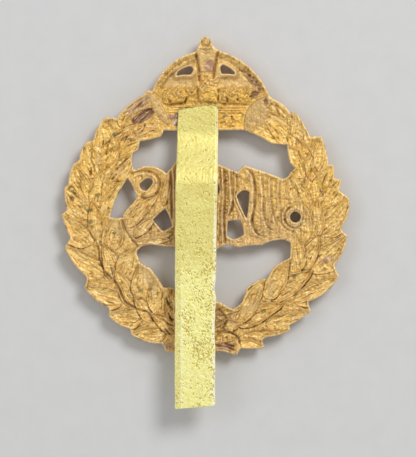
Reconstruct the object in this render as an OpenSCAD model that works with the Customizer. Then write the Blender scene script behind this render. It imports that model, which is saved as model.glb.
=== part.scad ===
// Pierced cap badge: a struck sheet face (crown over a laurel wreath with a pierced scroll panel)
// and a flat slider soldered to the back of the crown. It lies on its front: +Z comes out of its back,
// +Y points to the crown, and the origin is on the surface it lies on, in the middle of its footprint.
// Outlines are given about the centre of the wreath, in millimetres.

/* [Struck face] */
// Height of the back rim above the surface that the badge lies on
back_z = 2.8; // [2.6:0.1:3.4]
// Thickness of the struck sheet
sheet = 0.9; // [0.7:0.1:1]
// How far the outer and inner leaves stand out of the front
side_relief = 1.2; // [0.8:0.1:1.5]
// How deep the backs of the outer and inner leaves are dished
side_dish = 0.45; // [0.2:0.05:0.6]
// How deep the backs of the middle leaves are dished
middle_dish = 0.7; // [0.4:0.05:1]
// Distance from the wreath's centre to the origin, along Y
wreath_y = 1.3; // [1.3:0.1:1.3]

/* [Crown] */
// Depth of the hollow behind the crown's cap
cap_dish = 1.2; // [0.8:0.1:1.4]
// Depth of the hollow behind the crown's circlet
circlet_dish = 0.5; // [0.3:0.05:0.6]
// Radius of the pearls on the arches
pearl_r = 0.34; // [0.25:0.01:0.36]

/* [Slider] */
// Width of the slider strip
slider_w = 5.4; // [4.5:0.1:5.5]
// Thickness of the slider strip
slider_t = 0.8; // [0.6:0.05:0.9]
// Gap between the badge's back rim and the slider, for the cap's cloth
cloth_gap = 1.8; // [1.4:0.1:2.5]
// Thickness of the solder under the slider's foot
solder_t = 0.1; // [0.05:0.05:0.2]
// How far the slider leans from the badge's centre line, in degrees
slider_lean = 0.5; // [0:0.1:1]

/* [Hidden] */
$fn = 48;
front_z = back_z - sheet;          // front of the bare sheet
foot_z = back_z - circlet_dish;    // back of the circlet, where the slider is soldered
rib = 0.3;                         // how far a raised layer starts inside the sheet
leaf_margin = 0.45;                // flat border left round a leaf's dish
frond_margin = 0.2;                // the same on the scroll panel's narrow fronds
above = back_z + 1;                // a height clear above every back face
below = -1;                        // a height clear below every front face
curve_steps = 5;                   // pieces in each curved stretch of an outline

// Slider, along its own length: foot, joggle and blade
slider_x = -1.0;                   // middle of the strip at the top
slider_top = 13.9;
foot_end = 10.4;
joggle_end = 4.0;
slider_bottom = -25.8;
blade_z = back_z + cloth_gap;
top_skew = 0.5;                    // both ends are sheared out of square
end_skew = 0.55;

// Outline points are [x, y, bulge]: bulge is how far the stretch to the next point swells out.
function stretch(p, q) =
    let (d = [q.x - p.x, q.y - p.y], n = [d.y, -d.x] / max(norm(d), 0.001),
         steps = abs(p.z) < 0.04 ? 1 : curve_steps)
    [for (i = [0:steps - 1]) let (t = i / steps) [p.x, p.y] + d * t + n * (4 * p.z * t * (1 - t))];
function outline(points) =
    [for (i = [0:len(points) - 1]) each stretch(points[i], points[(i + 1) % len(points)])];
// The same stretches walked the other way, for the neighbour that shares them
function back_along(points, last) =
    [for (i = [len(points) - 1:-1:0])
        let (q = i == len(points) - 1 ? last : points[i + 1]) [q.x, q.y, -points[i].z]];

// Stretches that two neighbours share
crown_left = [[-4.5, 10.8, 0.45]];
crown_left_end = [-7.05, 16, 0];
crown_right = [[8.45, 15.4, 1.3]];
crown_right_end = [5.05, 10.9, 0];
panel_left_low = [[-8.6, -4.6, -0.6]];
panel_left_low_end = [-10.95, -0.7, 0];
panel_left_top = [[-10.3, 4.55, 0]];
panel_left_top_end = [-9.5, 5.65, 0];
panel_right = [[10.95, 4.85, -2.1]];
panel_right_end = [11.2, -3.95, 0];

// Outer edge of each branch, leaf tip by leaf tip
left_edge = [
    [-7.05, 16, 0], [-7.6, 16.15, 0.05], [-8.2, 15.55, 0.3], [-11.75, 12.4, 0.05], [-13.2, 12.6, 0.25],
    [-14.8, 9.5, 0], [-15.75, 9.3, 0.22], [-16.6, 7, 0], [-17.5, 6.3, 0.12], [-18.05, 3.85, 0],
    [-18.6, 3.3, 0.12], [-18.25, 0.35, 0], [-19, -0.3, 0.06], [-17.85, -3.3, -0.08], [-18.6, -4.5, 0.35],
    [-15.72, -8.45, -0.12], [-16, -9.85, 0.32], [-12.78, -12.55, -0.1], [-12.8, -13.5, 0.32],
    [-10, -15.3, -0.05], [-9.85, -16, 0.42], [-5.8, -17.25, -0.05], [-5.3, -18.2, 0.1]];
left_window = [
    [-4.3, -9.92, 0.05], [-5.5, -9.9, 0.06], [-7.3, -7.35, -0.08], [-8.7, -6.45, 0], [-9.05, -5.4, -0.12]];
left_notch = [[-10.95, -0.7, 0.06], [-11.9, -0.78, 0], [-12.6, -0.6, -0.06], [-11.4, 2.8, 0.05]];
left_top_window = [
    [-9.5, 5.65, 0], [-9.65, 6.3, -0.06], [-9.6, 7.8, 0], [-8.85, 8.3, 0], [-8.65, 9.4, 0.06],
    [-5.95, 9.98, 0.08], [-5.55, 10.85, 0]];
right_edge = [
    [4.6, -17.9, 0.04], [7.3, -17.9, 0], [7.85, -17.75, -0.06], [7.5, -16.8, -0.1], [8.4, -16.38, 0.15],
    [11.2, -15.5, -0.06], [11.1, -14.85, 0.08], [13.95, -13, -0.1], [13.6, -11.75, 0.5], [17.6, -8.4, -0.06],
    [17, -6.9, 0.35], [18.72, -3, -0.12], [17.9, -2.1, 0.35], [19, 1.7, 0.08], [17.65, 2.85, 0],
    [17.95, 4.3, 0], [17, 4.5, 0.06], [16.85, 6.3, 0], [16.2, 6.4, 0.14], [15.3, 10, 0.06],
    [13.85, 9.95, 0.1], [12, 13.1, 0.06], [11.15, 13.15, 0.25], [8.85, 15, 0]];
right_top_window = [
    [5.05, 10.9, -0.15], [8.5, 9.15, 0.05], [10.75, 8.95, 0.06], [11.15, 6.5, 0], [11.8, 5.85, 0.08]];
right_window = [
    [11.2, -3.95, -0.05], [11.15, -5.9, 0], [9.2, -7, 0.08], [8.2, -8.6, 0], [7.1, -8.9, 0.1],
    [5.45, -9.95, 0], [4.85, -11.8, -0.08]];
tie_right = [3.6, -12.68, 0];

left_branch_points = concat(
    left_edge, [[-4.3, -18.4, 0]], left_window, panel_left_low, left_notch, panel_left_top,
    left_top_window, crown_left);
right_branch_points = concat(
    right_edge, crown_right, right_top_window, panel_right, right_window, [tie_right]);
tie_points = [
    [-4.3, -9.92, 0], [-4.3, -18.4, 0], [2.2, -18.25, 0], [4.1, -18.8, 0], [4.6, -17.9, 0], tie_right,
    [2.8, -12.4, 0.1], [1.4, -11.7, 0], [-1, -12.4, 0]];
panel_points = concat(
    back_along(panel_left_top, panel_left_top_end),
    [[-10.3, 4.55, -0.15], [-9.05, 2, -0.1], [-10.5, 0.4, 0.06]],
    back_along(panel_left_low, panel_left_low_end),
    [[-8.6, -4.6, -0.12], [-7, -4.2, 0.08], [-4.2, -4.5, 0], [1.45, -4.85, -0.15], [3.3, -4.25, 0],
     [4.4, -4.6, -0.12], [7.4, -4.3, -0.2], [10.3, -3.55, 0]],
    back_along(panel_right, panel_right_end),
    [[10.95, 4.85, -0.06], [10.2, 4.42, 0.08], [5.1, 6.2, 0.08], [4.25, 5.3, 0], [1.8, 6.3, 0.1],
     [-3.9, 6.7, 0], [-5.15, 5.15, 0.1], [-6.8, 6.05, 0.05], [-8.3, 6.1, -0.08]]);
crown_points = concat(
    back_along(crown_left, crown_left_end), [[-4.5, 10.8, 0.04]],
    back_along(crown_right, crown_right_end),
    [[8.45, 15.4, 1.05], [1.75, 21.4, -0.08], [0.85, 22.2, 0.25], [0, 23.2, 0.25], [-0.85, 22.2, -0.08],
     [-1.35, 21.2, 1]]);

// Openings cut through the sheet
crown_holes = [
    [[-3.8, 18.05, -0.06], [-2, 18.2, 0.06], [-1.65, 18.85, 0.06], [-2, 19.3, 0.12], [-3.6, 18.6, 0.05]],
    [[2.15, 18.3, -0.06], [3.8, 18.2, 0.06], [3.75, 18.6, 0.1], [2.3, 19.5, 0.06], [1.98, 19.1, 0.05]]];
panel_holes = [
    [[-8.65, 3.75, 0.32], [-7.8, 2.9, 0.06], [-6.95, 3.95, 0.28], [-7.75, 4.5, 0.06]],
    [[-6.9, -0.95, 0.06], [-5.65, -2.4, 0.1], [-4.4, -1.75, 0.1], [-5.3, 0.5, 0.06]],
    [[4.1, 2.2, 0.06], [5.4, -0.8, 0.1], [5.75, 2.7, 0.1], [4.9, 2.9, 0.06]],
    [[2.95, -1.15, 0.04], [2.9, -3.1, 0.08], [3.8, -3.5, 0.06], [5.05, -2.9, 0.1], [4.55, -1, 0.04]]];
slit = [1.3, 3, 0.55, 1.1];        // opening beside the slider: centre, half width, half height
eye = [11.85, -0.6, 0.7];          // round opening: centre and radius

// Leaves are [base x, base y, tip x, tip y, half width], listed from the tie up to the crown.
left_outer = [
    [-5.4, -15.9, -9.8, -15.9, 1], [-7.7, -13.6, -12.7, -13.5, 1.15], [-10.5, -11.7, -15.9, -9.8, 1.3],
    [-12.9, -8.5, -18.5, -4.5, 1.5], [-14.6, -4.4, -18.8, -0.4, 1.35], [-15.1, -0.8, -18.5, 3.2, 1.3],
    [-15.1, 1.8, -17.4, 6.2, 1.25], [-14.4, 4.3, -15.8, 9.2, 1.25], [-12.8, 7.2, -13.3, 12.5, 1.3],
    [-11.2, 10.6, -7.6, 16, 1.3]];
left_inner = [
    [-4.4, -14.4, -5.2, -10, 1], [-6.4, -13.2, -6.6, -9, 1.2], [-8.4, -11.2, -8.2, -6.9, 1.3],
    [-10.8, -9.2, -9.6, -4.6, 1.3], [-12.5, -6.2, -11.2, -1, 1.2], [-13.6, -1.8, -10.4, 4.4, 1.2],
    [-13.2, 2.6, -9.7, 7.6, 1.3], [-12.3, 6.1, -8.8, 9.3, 1.1], [-11.1, 8.9, -5.7, 10.6, 0.95]];
left_middle = [
    [-6.6, -14.6, -9.8, -11, 1.1], [-9.4, -12.2, -12.4, -7.8, 1.2], [-12.1, -8.9, -13.3, -3.8, 1.25],
    [-14, -5, -14.4, 0.3, 1.25], [-14.6, -1, -14.2, 4.3, 1.2], [-14.1, 3.2, -12.3, 8, 1.2],
    [-12.6, 7, -9.8, 11.2, 1.15], [-10.9, 10, -6, 13.6, 1.3]];
right_outer = [
    [4.9, -17, 7.7, -17.6, 0.75], [5.3, -15.9, 11, -15.6, 0.9], [8.3, -14.7, 13.8, -13, 1.1],
    [12, -11.5, 17.4, -8.4, 1.3], [13.3, -7.5, 18.5, -3.1, 1.5], [14.7, -2.8, 18.6, 2, 1.6],
    [14.9, 0.2, 17.7, 4.2, 1.1], [14.7, 2.2, 16.6, 6.2, 1.15], [13.8, 4.8, 15.1, 9.8, 1.25],
    [12.2, 7.6, 12.1, 12.9, 1.25], [11.2, 10.8, 7.9, 15.2, 1.3]];
right_inner = [
    [4.6, -14.2, 7.6, -9.2, 1.3], [8.6, -11.1, 10.8, -6.6, 1.2], [12, -7.9, 11.8, -2.6, 1.1],
    [13, -3.6, 12.6, 1.4, 1.1], [13.4, -0.3, 11.3, 4.8, 1.15], [13.2, 4.2, 11.4, 8.8, 1.1],
    [11.4, 9.2, 5.8, 11.6, 1.2]];
right_middle = [
    [4.4, -14.9, 10.1, -12.3, 1.15], [9, -11.5, 14.2, -7.9, 1.25], [12.3, -8, 14.9, -2.9, 1.2],
    [14.3, -3.6, 14.7, 1.7, 1.15], [14.6, 0.8, 13.9, 5.9, 1.15], [13.8, 4.9, 12.2, 9.7, 1.15],
    [12, 8.4, 6.4, 13.4, 1.35]];

gilding_metal = [0.80, 0.60, 0.30];
slider_brass = [0.88, 0.80, 0.47];
solder_grey = [0.70, 0.66, 0.62];

// A prism of an outline between two heights
module slab(points, low, high) {
    translate([0, 0, low]) linear_extrude(high - low) polygon(outline(points));
}

// A pointed leaf prism between two heights; narrow takes that much off each side
module leaf(l, low, high, narrow = 0) {
    span = [l[2] - l[0], l[3] - l[1]];
    length = norm(span) - 2.4 * narrow;
    half = l[4] - narrow;
    r = (length * length / 4 + half * half) / (2 * half);
    translate([(l[0] + l[2]) / 2, (l[1] + l[3]) / 2, low])
        rotate(atan2(span.y, span.x))
            linear_extrude(high - low)
                intersection() {
                    translate([0, r - half]) circle(r);
                    translate([0, half - r]) circle(r);
                }
}

// One branch: the sheet, its leaves standing out of the front, and their dished backs
module branch(points, side_leaves, middle_leaves) {
    translate([0, wreath_y, 0]) difference() {
        union() {
            slab(points, front_z, back_z);
            intersection() {
                slab(points, 0, front_z + rib);
                union() {
                    for (l = side_leaves) leaf(l, front_z - side_relief, front_z + rib);
                    for (l = middle_leaves) leaf(l, 0, front_z + rib);
                }
            }
        }
        for (l = side_leaves) leaf(l, back_z - side_dish, above, leaf_margin);
        for (l = middle_leaves) leaf(l, back_z - middle_dish, above, leaf_margin);
    }
}

module left_branch() {
    color(gilding_metal) branch(left_branch_points, concat(left_outer, left_inner), left_middle);
}

module right_branch() {
    color(gilding_metal) branch(right_branch_points, concat(right_outer, right_inner), right_middle);
}

// Where the two stems cross at the foot of the wreath, bound by a plain ribbon
module branch_tie() {
    stems = [[-4.2, -15.6, 3.6, -13.6, 0.9], [-4.2, -13, 3.8, -16.4, 0.9]];
    ribbon_w = 1.8;
    ribbon_l = 5.2;
    ribbon_y = -18;
    color(gilding_metal) translate([0, wreath_y, 0]) difference() {
        union() {
            slab(tie_points, front_z, back_z);
            for (l = stems) leaf(l, front_z - side_relief, front_z + rib);
            translate([-ribbon_w / 2, ribbon_y, 0]) cube([ribbon_w, ribbon_l, front_z + rib]);
        }
        for (l = stems) leaf(l, back_z - side_dish, above, leaf_margin);
    }
}

// The pierced panel of leaf scrolls across the middle of the wreath
module scroll_panel() {
    fronds = [
        [-9.9, -1.6, -6.2, 2.4, 0.9], [-8.6, -3.4, -4.6, -3, 0.7], [-4.2, 5.2, -4.3, 0, 0.5],
        [-2.4, -3.6, -2.2, 5.4, 0.9], [0.1, -3.8, 0, 5, 0.7], [2.2, -3.6, 2.6, 5.2, 0.5],
        [6.6, -3, 6.2, 4.8, 0.55], [8.2, -2.6, 7.6, 4.2, 0.5], [9.8, -2.4, 9.6, 3.6, 0.5]];
    volute = [-7.85, 3.7, 1.7];
    eye_rim = 0.55;
    color(gilding_metal) translate([0, wreath_y, 0]) difference() {
        union() {
            slab(panel_points, front_z, back_z);
            for (l = fronds) leaf(l, front_z - side_relief, front_z + rib);
            translate([0, 0, front_z - side_relief]) {
                translate([volute.x, volute.y, 0]) cylinder(r = volute.z, h = side_relief + rib);
                translate([eye.x, eye.y, 0]) cylinder(r = eye.z + eye_rim, h = side_relief + rib);
            }
        }
        for (l = fronds) leaf(l, back_z - side_dish, above, frond_margin);
        for (h = panel_holes) slab(h, below, above);
        leaf([slit.x, slit.y - slit[3], slit.x, slit.y + slit[3], slit[2]], below, above);
        translate([eye.x, eye.y, below]) cylinder(r = eye.z, h = above - below);
    }
}

// A row of pearls along an arch, from one angle to another about the crown's middle
module pearls(centre, r, from, to, count) {
    for (i = [0:count - 1])
        translate([centre.x + r * cos(from + (to - from) * i / (count - 1)),
                   centre.y + r * sin(from + (to - from) * i / (count - 1)), pearl_r])
            sphere(r = pearl_r);
}

// The crown: arched cap, circlet and ball, hollow behind
module crown() {
    cap_left = [[-6, 16.4, 0.02], [-1.25, 16.4, 0], [-1.35, 20.2, 0.75]];
    cap_right = [[1.55, 16.4, 0], [6.8, 16.4, 0.85], [1.6, 20.5, 0]];
    flower_row = [[-5.4, 14.6, 0], [5.9, 14.6, 0], [6.5, 16, 0], [-5.9, 16, 0]];
    circlet = [[-4.45, 11.3, 0], [4.9, 11.3, 0], [5.2, 14.1, 0], [-4.9, 14.1, 0]];
    cap_front = 0.6;               // front of the cap, behind its pearls
    arch_middle = [0.35, 13.3];
    arch_r = 7.3;
    rail_h = 0.45;
    jewel_r = 0.5;
    flower_r = 0.45;
    ball_r = 0.55;
    color(gilding_metal) translate([0, wreath_y, 0]) difference() {
        union() {
            slab(crown_points, cap_front, back_z);
            intersection() {
                slab(crown_points, 0, cap_front + rib);
                union() {
                    pearls(arch_middle, arch_r, 30, 84, 9);
                    pearls(arch_middle, arch_r, 96, 152, 9);
                    for (i = [0:4]) translate([0.15, 16.8 + i * 0.95, pearl_r]) sphere(r = pearl_r);
                    for (y = [11.05, 14.05])
                        translate([-4.6, y, 0.15]) cube([10, rail_h, cap_front]);
                    for (x = [-3.4, -1.6, 0.2, 2, 3.8])
                        translate([x, 12.75, 0]) cylinder(r = jewel_r, h = cap_front + rib);
                    for (x = [-4, -1.9, 2.2, 4.4])
                        translate([x, 15.4, 0.2]) cylinder(r = flower_r, h = cap_front);
                    translate([0, 22.45, 0.2]) cylinder(r = ball_r, h = cap_front);
                }
            }
        }
        for (hollow = [cap_left, cap_right, flower_row]) slab(hollow, back_z - cap_dish, above);
        slab(circlet, foot_z, above);
        for (h = crown_holes) slab(h, below, above);
    }
}

// Moves a shape from the slider's own axes, x across and y along, to the badge
module on_slider() {
    translate([slider_x, wreath_y + slider_top, 0]) rotate(-slider_lean) translate([0, -slider_top, 0])
        children();
}

// The flat strip: a foot soldered to the crown, a joggle, and the blade that goes behind the cap's cloth
module slider() {
    foot_low = foot_z + solder_t;
    half = slider_w / 2;
    plan = [[-half, slider_bottom], [half, slider_bottom + end_skew], [half, slider_top - 0.3],
            [half - 0.45, slider_top + top_skew - 0.12], [half - 0.9, slider_top + top_skew],
            [-half / 5, slider_top + 0.1], [-half, slider_top - top_skew]];
    side = [[slider_bottom - 1, blade_z], [joggle_end, blade_z], [foot_end, foot_low],
            [slider_top + 1, foot_low], [slider_top + 1, foot_low + slider_t],
            [foot_end + 0.2, foot_low + slider_t], [joggle_end + 0.2, blade_z + slider_t],
            [slider_bottom - 1, blade_z + slider_t]];
    color(slider_brass) on_slider() intersection() {
        linear_extrude(20) polygon(plan);
        rotate([90, 0, 90]) translate([0, 0, -10]) linear_extrude(20) polygon(side);
    }
}

// Solder between the slider's foot and the circlet, with the fillet that ran out beside it
module solder_joint() {
    fillet_w = 0.75;
    fillet_h = 0.5;
    foot_low = foot_z + solder_t;
    half = slider_w / 2;
    color(solder_grey) on_slider() union() {
        translate([-half, 11.35, foot_z]) cube([slider_w, 2.2, solder_t]);
        translate([-half, 13.4, foot_z]) rotate([90, 0, 0])
            linear_extrude(2) polygon([[0.01, 0], [-fillet_w, 0], [0, solder_t + fillet_h]]);
    }
}

crown();
left_branch();
right_branch();
branch_tie();
scroll_panel();
slider();
solder_joint();
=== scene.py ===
"""A struck, pierced cap badge lying face down, with its soldered slider. Lengths are in millimetres
about the centre of the wreath until a mesh is made, and metres in the CAD frame after that."""

import math

import bpy
import numpy as np
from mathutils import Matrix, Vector


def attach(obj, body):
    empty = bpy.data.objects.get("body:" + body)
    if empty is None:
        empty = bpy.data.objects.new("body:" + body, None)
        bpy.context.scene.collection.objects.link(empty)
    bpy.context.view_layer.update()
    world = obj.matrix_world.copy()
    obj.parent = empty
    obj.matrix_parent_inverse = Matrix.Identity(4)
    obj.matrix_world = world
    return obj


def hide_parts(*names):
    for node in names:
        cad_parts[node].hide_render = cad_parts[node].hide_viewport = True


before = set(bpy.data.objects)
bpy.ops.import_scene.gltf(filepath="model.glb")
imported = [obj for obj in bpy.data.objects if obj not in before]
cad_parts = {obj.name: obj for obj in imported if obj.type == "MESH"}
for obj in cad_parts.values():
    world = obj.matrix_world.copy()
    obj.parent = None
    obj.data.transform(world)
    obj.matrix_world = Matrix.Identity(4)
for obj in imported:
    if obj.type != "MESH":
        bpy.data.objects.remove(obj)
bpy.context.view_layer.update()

# ---------------------------------------------------------------- sizes

MM = 0.001
WREATH_Y = 1.3          # wreath's centre to the frame's origin
PITCH = 0.08            # spacing of the relief's grid
EDGE_REACH = 2.4        # how far from an edge its distance is worked out
BACK_Z = 2.8            # back rim of the struck sheet
SHEET = 0.9             # its thickness
FRONT_Z = BACK_Z - SHEET
SIDE_RELIEF = 1.15      # how far the outer and inner leaves stand out of the front
MIDDLE_RELIEF = 1.8     # how far the middle leaves do
CAP_RELIEF = 1.3        # how far the crown's cap does
EDGE_ROUND = 0.2        # softened edge round every outline
FRONT_BLUR = 8          # steps by which the front's relief is softened
THINNEST = 0.45         # least metal left between back and front
FRONT_SHARE = 0.5       # how much of the back's dirt, stain, painted shade and painted highlight the front shows

SLIDER_WIDTH = 5.4
SLIDER_THICK = 0.8
SLIDER_X = -1.0
SLIDER_TOP = 13.9
SLIDER_BOTTOM = -25.8
SLIDER_LEAN = math.radians(0.5)
FOOT_Z = 2.4            # underside of the slider's foot
BLADE_Z = 4.6           # underside of its blade
FOOT_END = 10.4
JOGGLE_END = 4.0
PIT_TRIES = 8000        # places tried for a pit; the chance of one differs by place
PIT_LEAST = 0.045       # least radius of a pit
PIT_SPREAD = 0.085      # how much larger the largest is

# How far the slider's edges are worn from straight, by height, and its ends from square, by place across
LEFT_WEAR = [(-25.8, 0.03), (-18, -0.05), (-12, -0.05), (-6, -0.15), (-2, -0.15), (4, -0.13), (8.5, -0.01),
             (11, 0.02), (13.9, 0.15)]
RIGHT_WEAR = [(-25, -0.07), (-18, -0.13), (-14.7, -0.25), (-12.5, -0.15), (-11.2, -0.05), (-9.9, -0.3),
              (-8.5, -0.12), (-6, -0.08), (-2, -0.11), (1.3, -0.03), (7, 0.03), (11, 0.03), (13.9, -0.03)]
TOP_END = [(-2.7, -0.45), (-0.5, -0.03), (1.75, 0.25), (2.2, 0.2), (2.5, 0), (2.7, -0.4)]
BOTTOM_END = [(-2.7, 0.16), (-2.5, 0.02), (2.3, 0.5), (2.7, 0.66)]


# ---------------------------------------------------------------- noise

LATTICE = np.random.default_rng(7).random((256, 256)) * 2 - 1


def noise(x, y, seed=0):
    """Smooth noise from -1 to 1 with one bump per unit."""
    x, y = np.asarray(x, float) + 37.3 * seed, np.asarray(y, float) + 91.7 * seed
    i, j = np.floor(x).astype(int), np.floor(y).astype(int)
    fx, fy = x - i, y - j
    fx, fy = fx * fx * (3 - 2 * fx), fy * fy * (3 - 2 * fy)
    a, b = LATTICE[i % 256, j % 256], LATTICE[(i + 1) % 256, j % 256]
    c, d = LATTICE[i % 256, (j + 1) % 256], LATTICE[(i + 1) % 256, (j + 1) % 256]
    return (a * (1 - fx) + b * fx) * (1 - fy) + (c * (1 - fx) + d * fx) * fy


def cloudy(x, y, size, seed=0, octaves=3):
    """Noise of several sizes, the largest of the size given."""
    total = sum(noise(x * 2**k / size, y * 2**k / size, seed + k) / 2**k for k in range(octaves))
    return total / sum(1 / 2**k for k in range(octaves))


def smooth(low, high, value):
    t = np.clip((value - low) / (high - low), 0, 1)
    return t * t * (3 - 2 * t)


def bell(distance, width):
    return np.exp(-((distance / width) ** 2))


# ---------------------------------------------------------------- outlines

def stretch(p, q, steps=9):
    """Points from p up to q, swelling out by p's bulge."""
    if abs(p[2]) < 0.04:
        return [(p[0], p[1])]
    dx, dy = q[0] - p[0], q[1] - p[1]
    size = max(math.hypot(dx, dy), 0.001)
    points = []
    for i in range(steps):
        t = i / steps
        swell = 4 * p[2] * t * (1 - t) / size
        points.append((p[0] + dx * t + dy * swell, p[1] + dy * t - dx * swell))
    return points


def outline(points):
    out = []
    for i, p in enumerate(points):
        out += stretch(p, points[(i + 1) % len(points)])
    return np.array(out)


def back_along(points, last):
    """The same stretches walked the other way, for the neighbour that shares them."""
    out = []
    for i in range(len(points) - 1, -1, -1):
        q = last if i == len(points) - 1 else points[i + 1]
        out.append((q[0], q[1], -points[i][2]))
    return out


CROWN_LEFT = [(-4.5, 10.8, 0.45)]
CROWN_LEFT_END = (-7.05, 16, 0)
CROWN_RIGHT = [(8.45, 15.4, 1.3)]
CROWN_RIGHT_END = (5.05, 10.9, 0)
PANEL_LEFT_LOW = [(-8.6, -4.6, -0.6)]
PANEL_LEFT_LOW_END = (-10.95, -0.7, 0)
PANEL_LEFT_TOP = [(-10.3, 4.55, 0)]
PANEL_LEFT_TOP_END = (-9.5, 5.65, 0)
PANEL_RIGHT = [(10.95, 4.85, -2.1)]
PANEL_RIGHT_END = (11.2, -3.95, 0)

LEFT_EDGE = [
    (-7.05, 16, 0), (-7.6, 16.15, 0.05), (-8.2, 15.55, 0.3), (-11.75, 12.4, 0.05), (-13.2, 12.6, 0.25),
    (-14.8, 9.5, 0), (-15.75, 9.3, 0.22), (-16.6, 7, 0), (-17.5, 6.3, 0.12), (-18.05, 3.85, 0),
    (-18.6, 3.3, 0.12), (-18.25, 0.35, 0), (-19, -0.3, 0.06), (-17.85, -3.3, -0.08), (-18.6, -4.5, 0.35),
    (-15.72, -8.45, -0.12), (-16, -9.85, 0.32), (-12.78, -12.55, -0.1), (-12.8, -13.5, 0.32),
    (-10, -15.3, -0.05), (-9.85, -16, 0.42), (-5.8, -17.25, -0.05), (-5.3, -18.2, 0.1)]
LEFT_WINDOW = [
    (-4.3, -9.92, 0.05), (-5.5, -9.9, 0.06), (-7.3, -7.35, -0.08), (-8.7, -6.45, 0), (-9.05, -5.4, -0.12)]
LEFT_NOTCH = [(-10.95, -0.7, 0.06), (-11.9, -0.78, 0), (-12.6, -0.6, -0.06), (-11.4, 2.8, 0.05)]
LEFT_TOP_WINDOW = [
    (-9.5, 5.65, 0), (-9.65, 6.3, -0.06), (-9.6, 7.8, 0), (-8.85, 8.3, 0), (-8.65, 9.4, 0.06),
    (-5.95, 9.98, 0.08), (-5.55, 10.85, 0)]
RIGHT_EDGE = [
    (4.6, -17.9, 0.04), (7.3, -17.9, 0), (7.85, -17.75, -0.06), (7.5, -16.8, -0.1), (8.4, -16.38, 0.15),
    (11.2, -15.5, -0.06), (11.1, -14.85, 0.08), (13.95, -13, -0.1), (13.6, -11.75, 0.5), (17.6, -8.4, -0.06),
    (17, -6.9, 0.35), (18.72, -3, -0.12), (17.9, -2.1, 0.35), (19, 1.7, 0.08), (17.65, 2.85, 0),
    (17.95, 4.3, 0), (17, 4.5, 0.06), (16.85, 6.3, 0), (16.2, 6.4, 0.14), (15.3, 10, 0.06),
    (13.85, 9.95, 0.1), (12, 13.1, 0.06), (11.15, 13.15, 0.25), (8.85, 15, 0)]
RIGHT_TOP_WINDOW = [
    (5.05, 10.9, -0.15), (8.5, 9.15, 0.05), (10.75, 8.95, 0.06), (11.15, 6.5, 0), (11.8, 5.85, 0.08)]
RIGHT_WINDOW = [
    (11.2, -3.95, -0.05), (11.15, -5.9, 0), (9.2, -7, 0.08), (8.2, -8.6, 0), (7.1, -8.9, 0.1),
    (5.45, -9.95, 0), (4.85, -11.8, -0.08)]
TIE_RIGHT = (3.6, -12.68, 0)

REGIONS = {
    "left_branch": (
        LEFT_EDGE + [(-4.3, -18.4, 0)] + LEFT_WINDOW + PANEL_LEFT_LOW + LEFT_NOTCH + PANEL_LEFT_TOP
        + LEFT_TOP_WINDOW + CROWN_LEFT),
    "right_branch": (
        RIGHT_EDGE + CROWN_RIGHT + RIGHT_TOP_WINDOW + PANEL_RIGHT + RIGHT_WINDOW + [TIE_RIGHT]),
    "branch_tie": [
        (-4.3, -9.92, 0), (-4.3, -18.4, 0), (2.2, -18.25, 0), (4.1, -18.8, 0), (4.6, -17.9, 0), TIE_RIGHT,
        (2.8, -12.4, 0.1), (1.4, -11.7, 0), (-1, -12.4, 0)],
    "scroll_panel": (
        back_along(PANEL_LEFT_TOP, PANEL_LEFT_TOP_END)
        + [(-10.3, 4.55, -0.15), (-9.05, 2, -0.1), (-10.5, 0.4, 0.06)]
        + back_along(PANEL_LEFT_LOW, PANEL_LEFT_LOW_END)
        + [(-8.6, -4.6, -0.12), (-7, -4.2, 0.08), (-4.2, -4.5, 0), (1.45, -4.85, -0.15), (3.3, -4.25, 0),
           (4.4, -4.6, -0.12), (7.4, -4.3, -0.2), (10.3, -3.55, 0)]
        + back_along(PANEL_RIGHT, PANEL_RIGHT_END)
        + [(10.95, 4.85, -0.06), (10.2, 4.42, 0.08), (5.1, 6.2, 0.08), (4.25, 5.3, 0), (1.8, 6.3, 0.1),
           (-3.9, 6.7, 0), (-5.15, 5.15, 0.1), (-6.8, 6.05, 0.05), (-8.3, 6.1, -0.08)]),
    "crown": (
        back_along(CROWN_LEFT, CROWN_LEFT_END) + [(-4.5, 10.8, 0.04)]
        + back_along(CROWN_RIGHT, CROWN_RIGHT_END)
        + [(8.45, 15.4, 1.05), (1.75, 21.4, -0.08), (0.85, 22.2, 0.25), (0, 23.2, 0.25),
           (-0.85, 22.2, -0.08), (-1.35, 21.2, 1)]),
}
CUTS = [    # two openings in the crown's cap, then the panel's
    [(-3.8, 18.05, -0.06), (-2, 18.2, 0.06), (-1.65, 18.85, 0.06), (-2, 19.3, 0.12), (-3.6, 18.6, 0.05)],
    [(2.15, 18.3, -0.06), (3.8, 18.2, 0.06), (3.75, 18.6, 0.1), (2.3, 19.5, 0.06), (1.98, 19.1, 0.05)],
    [(-8.65, 3.75, 0.32), (-7.8, 2.9, 0.06), (-6.95, 3.95, 0.28), (-7.75, 4.5, 0.06)],
    [(-6.9, -0.95, 0.06), (-5.65, -2.4, 0.1), (-4.4, -1.75, 0.1), (-5.3, 0.5, 0.06)],
    [(4.1, 2.2, 0.06), (5.4, -0.8, 0.1), (5.75, 2.7, 0.1), (4.9, 2.9, 0.06)],
    [(2.95, -1.15, 0.04), (2.9, -3.1, 0.08), (3.8, -3.5, 0.06), (5.05, -2.9, 0.1), (4.55, -1, 0.04)],
    [(1.3, 1.9, 0.55), (1.3, 4.1, 0.55)],
]
EYE = (11.85, -0.6, 0.7)    # the round opening's centre and radius


def circle(x, y, r, count=48):
    angles = np.arange(count) * 2 * math.pi / count
    return np.stack([x + r * np.cos(angles), y + r * np.sin(angles)], axis=1)


region_lines = {name: outline(points) for name, points in REGIONS.items()}
cut_lines = [outline(points) for points in CUTS] + [circle(*EYE)]


# ---------------------------------------------------------------- the grid, fitted to the outlines

GRID_X = np.arange(-19.4, 19.4, PITCH)
GRID_Y = np.arange(-19.2, 23.6, PITCH)
X, Y = np.meshgrid(GRID_X, GRID_Y)


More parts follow.
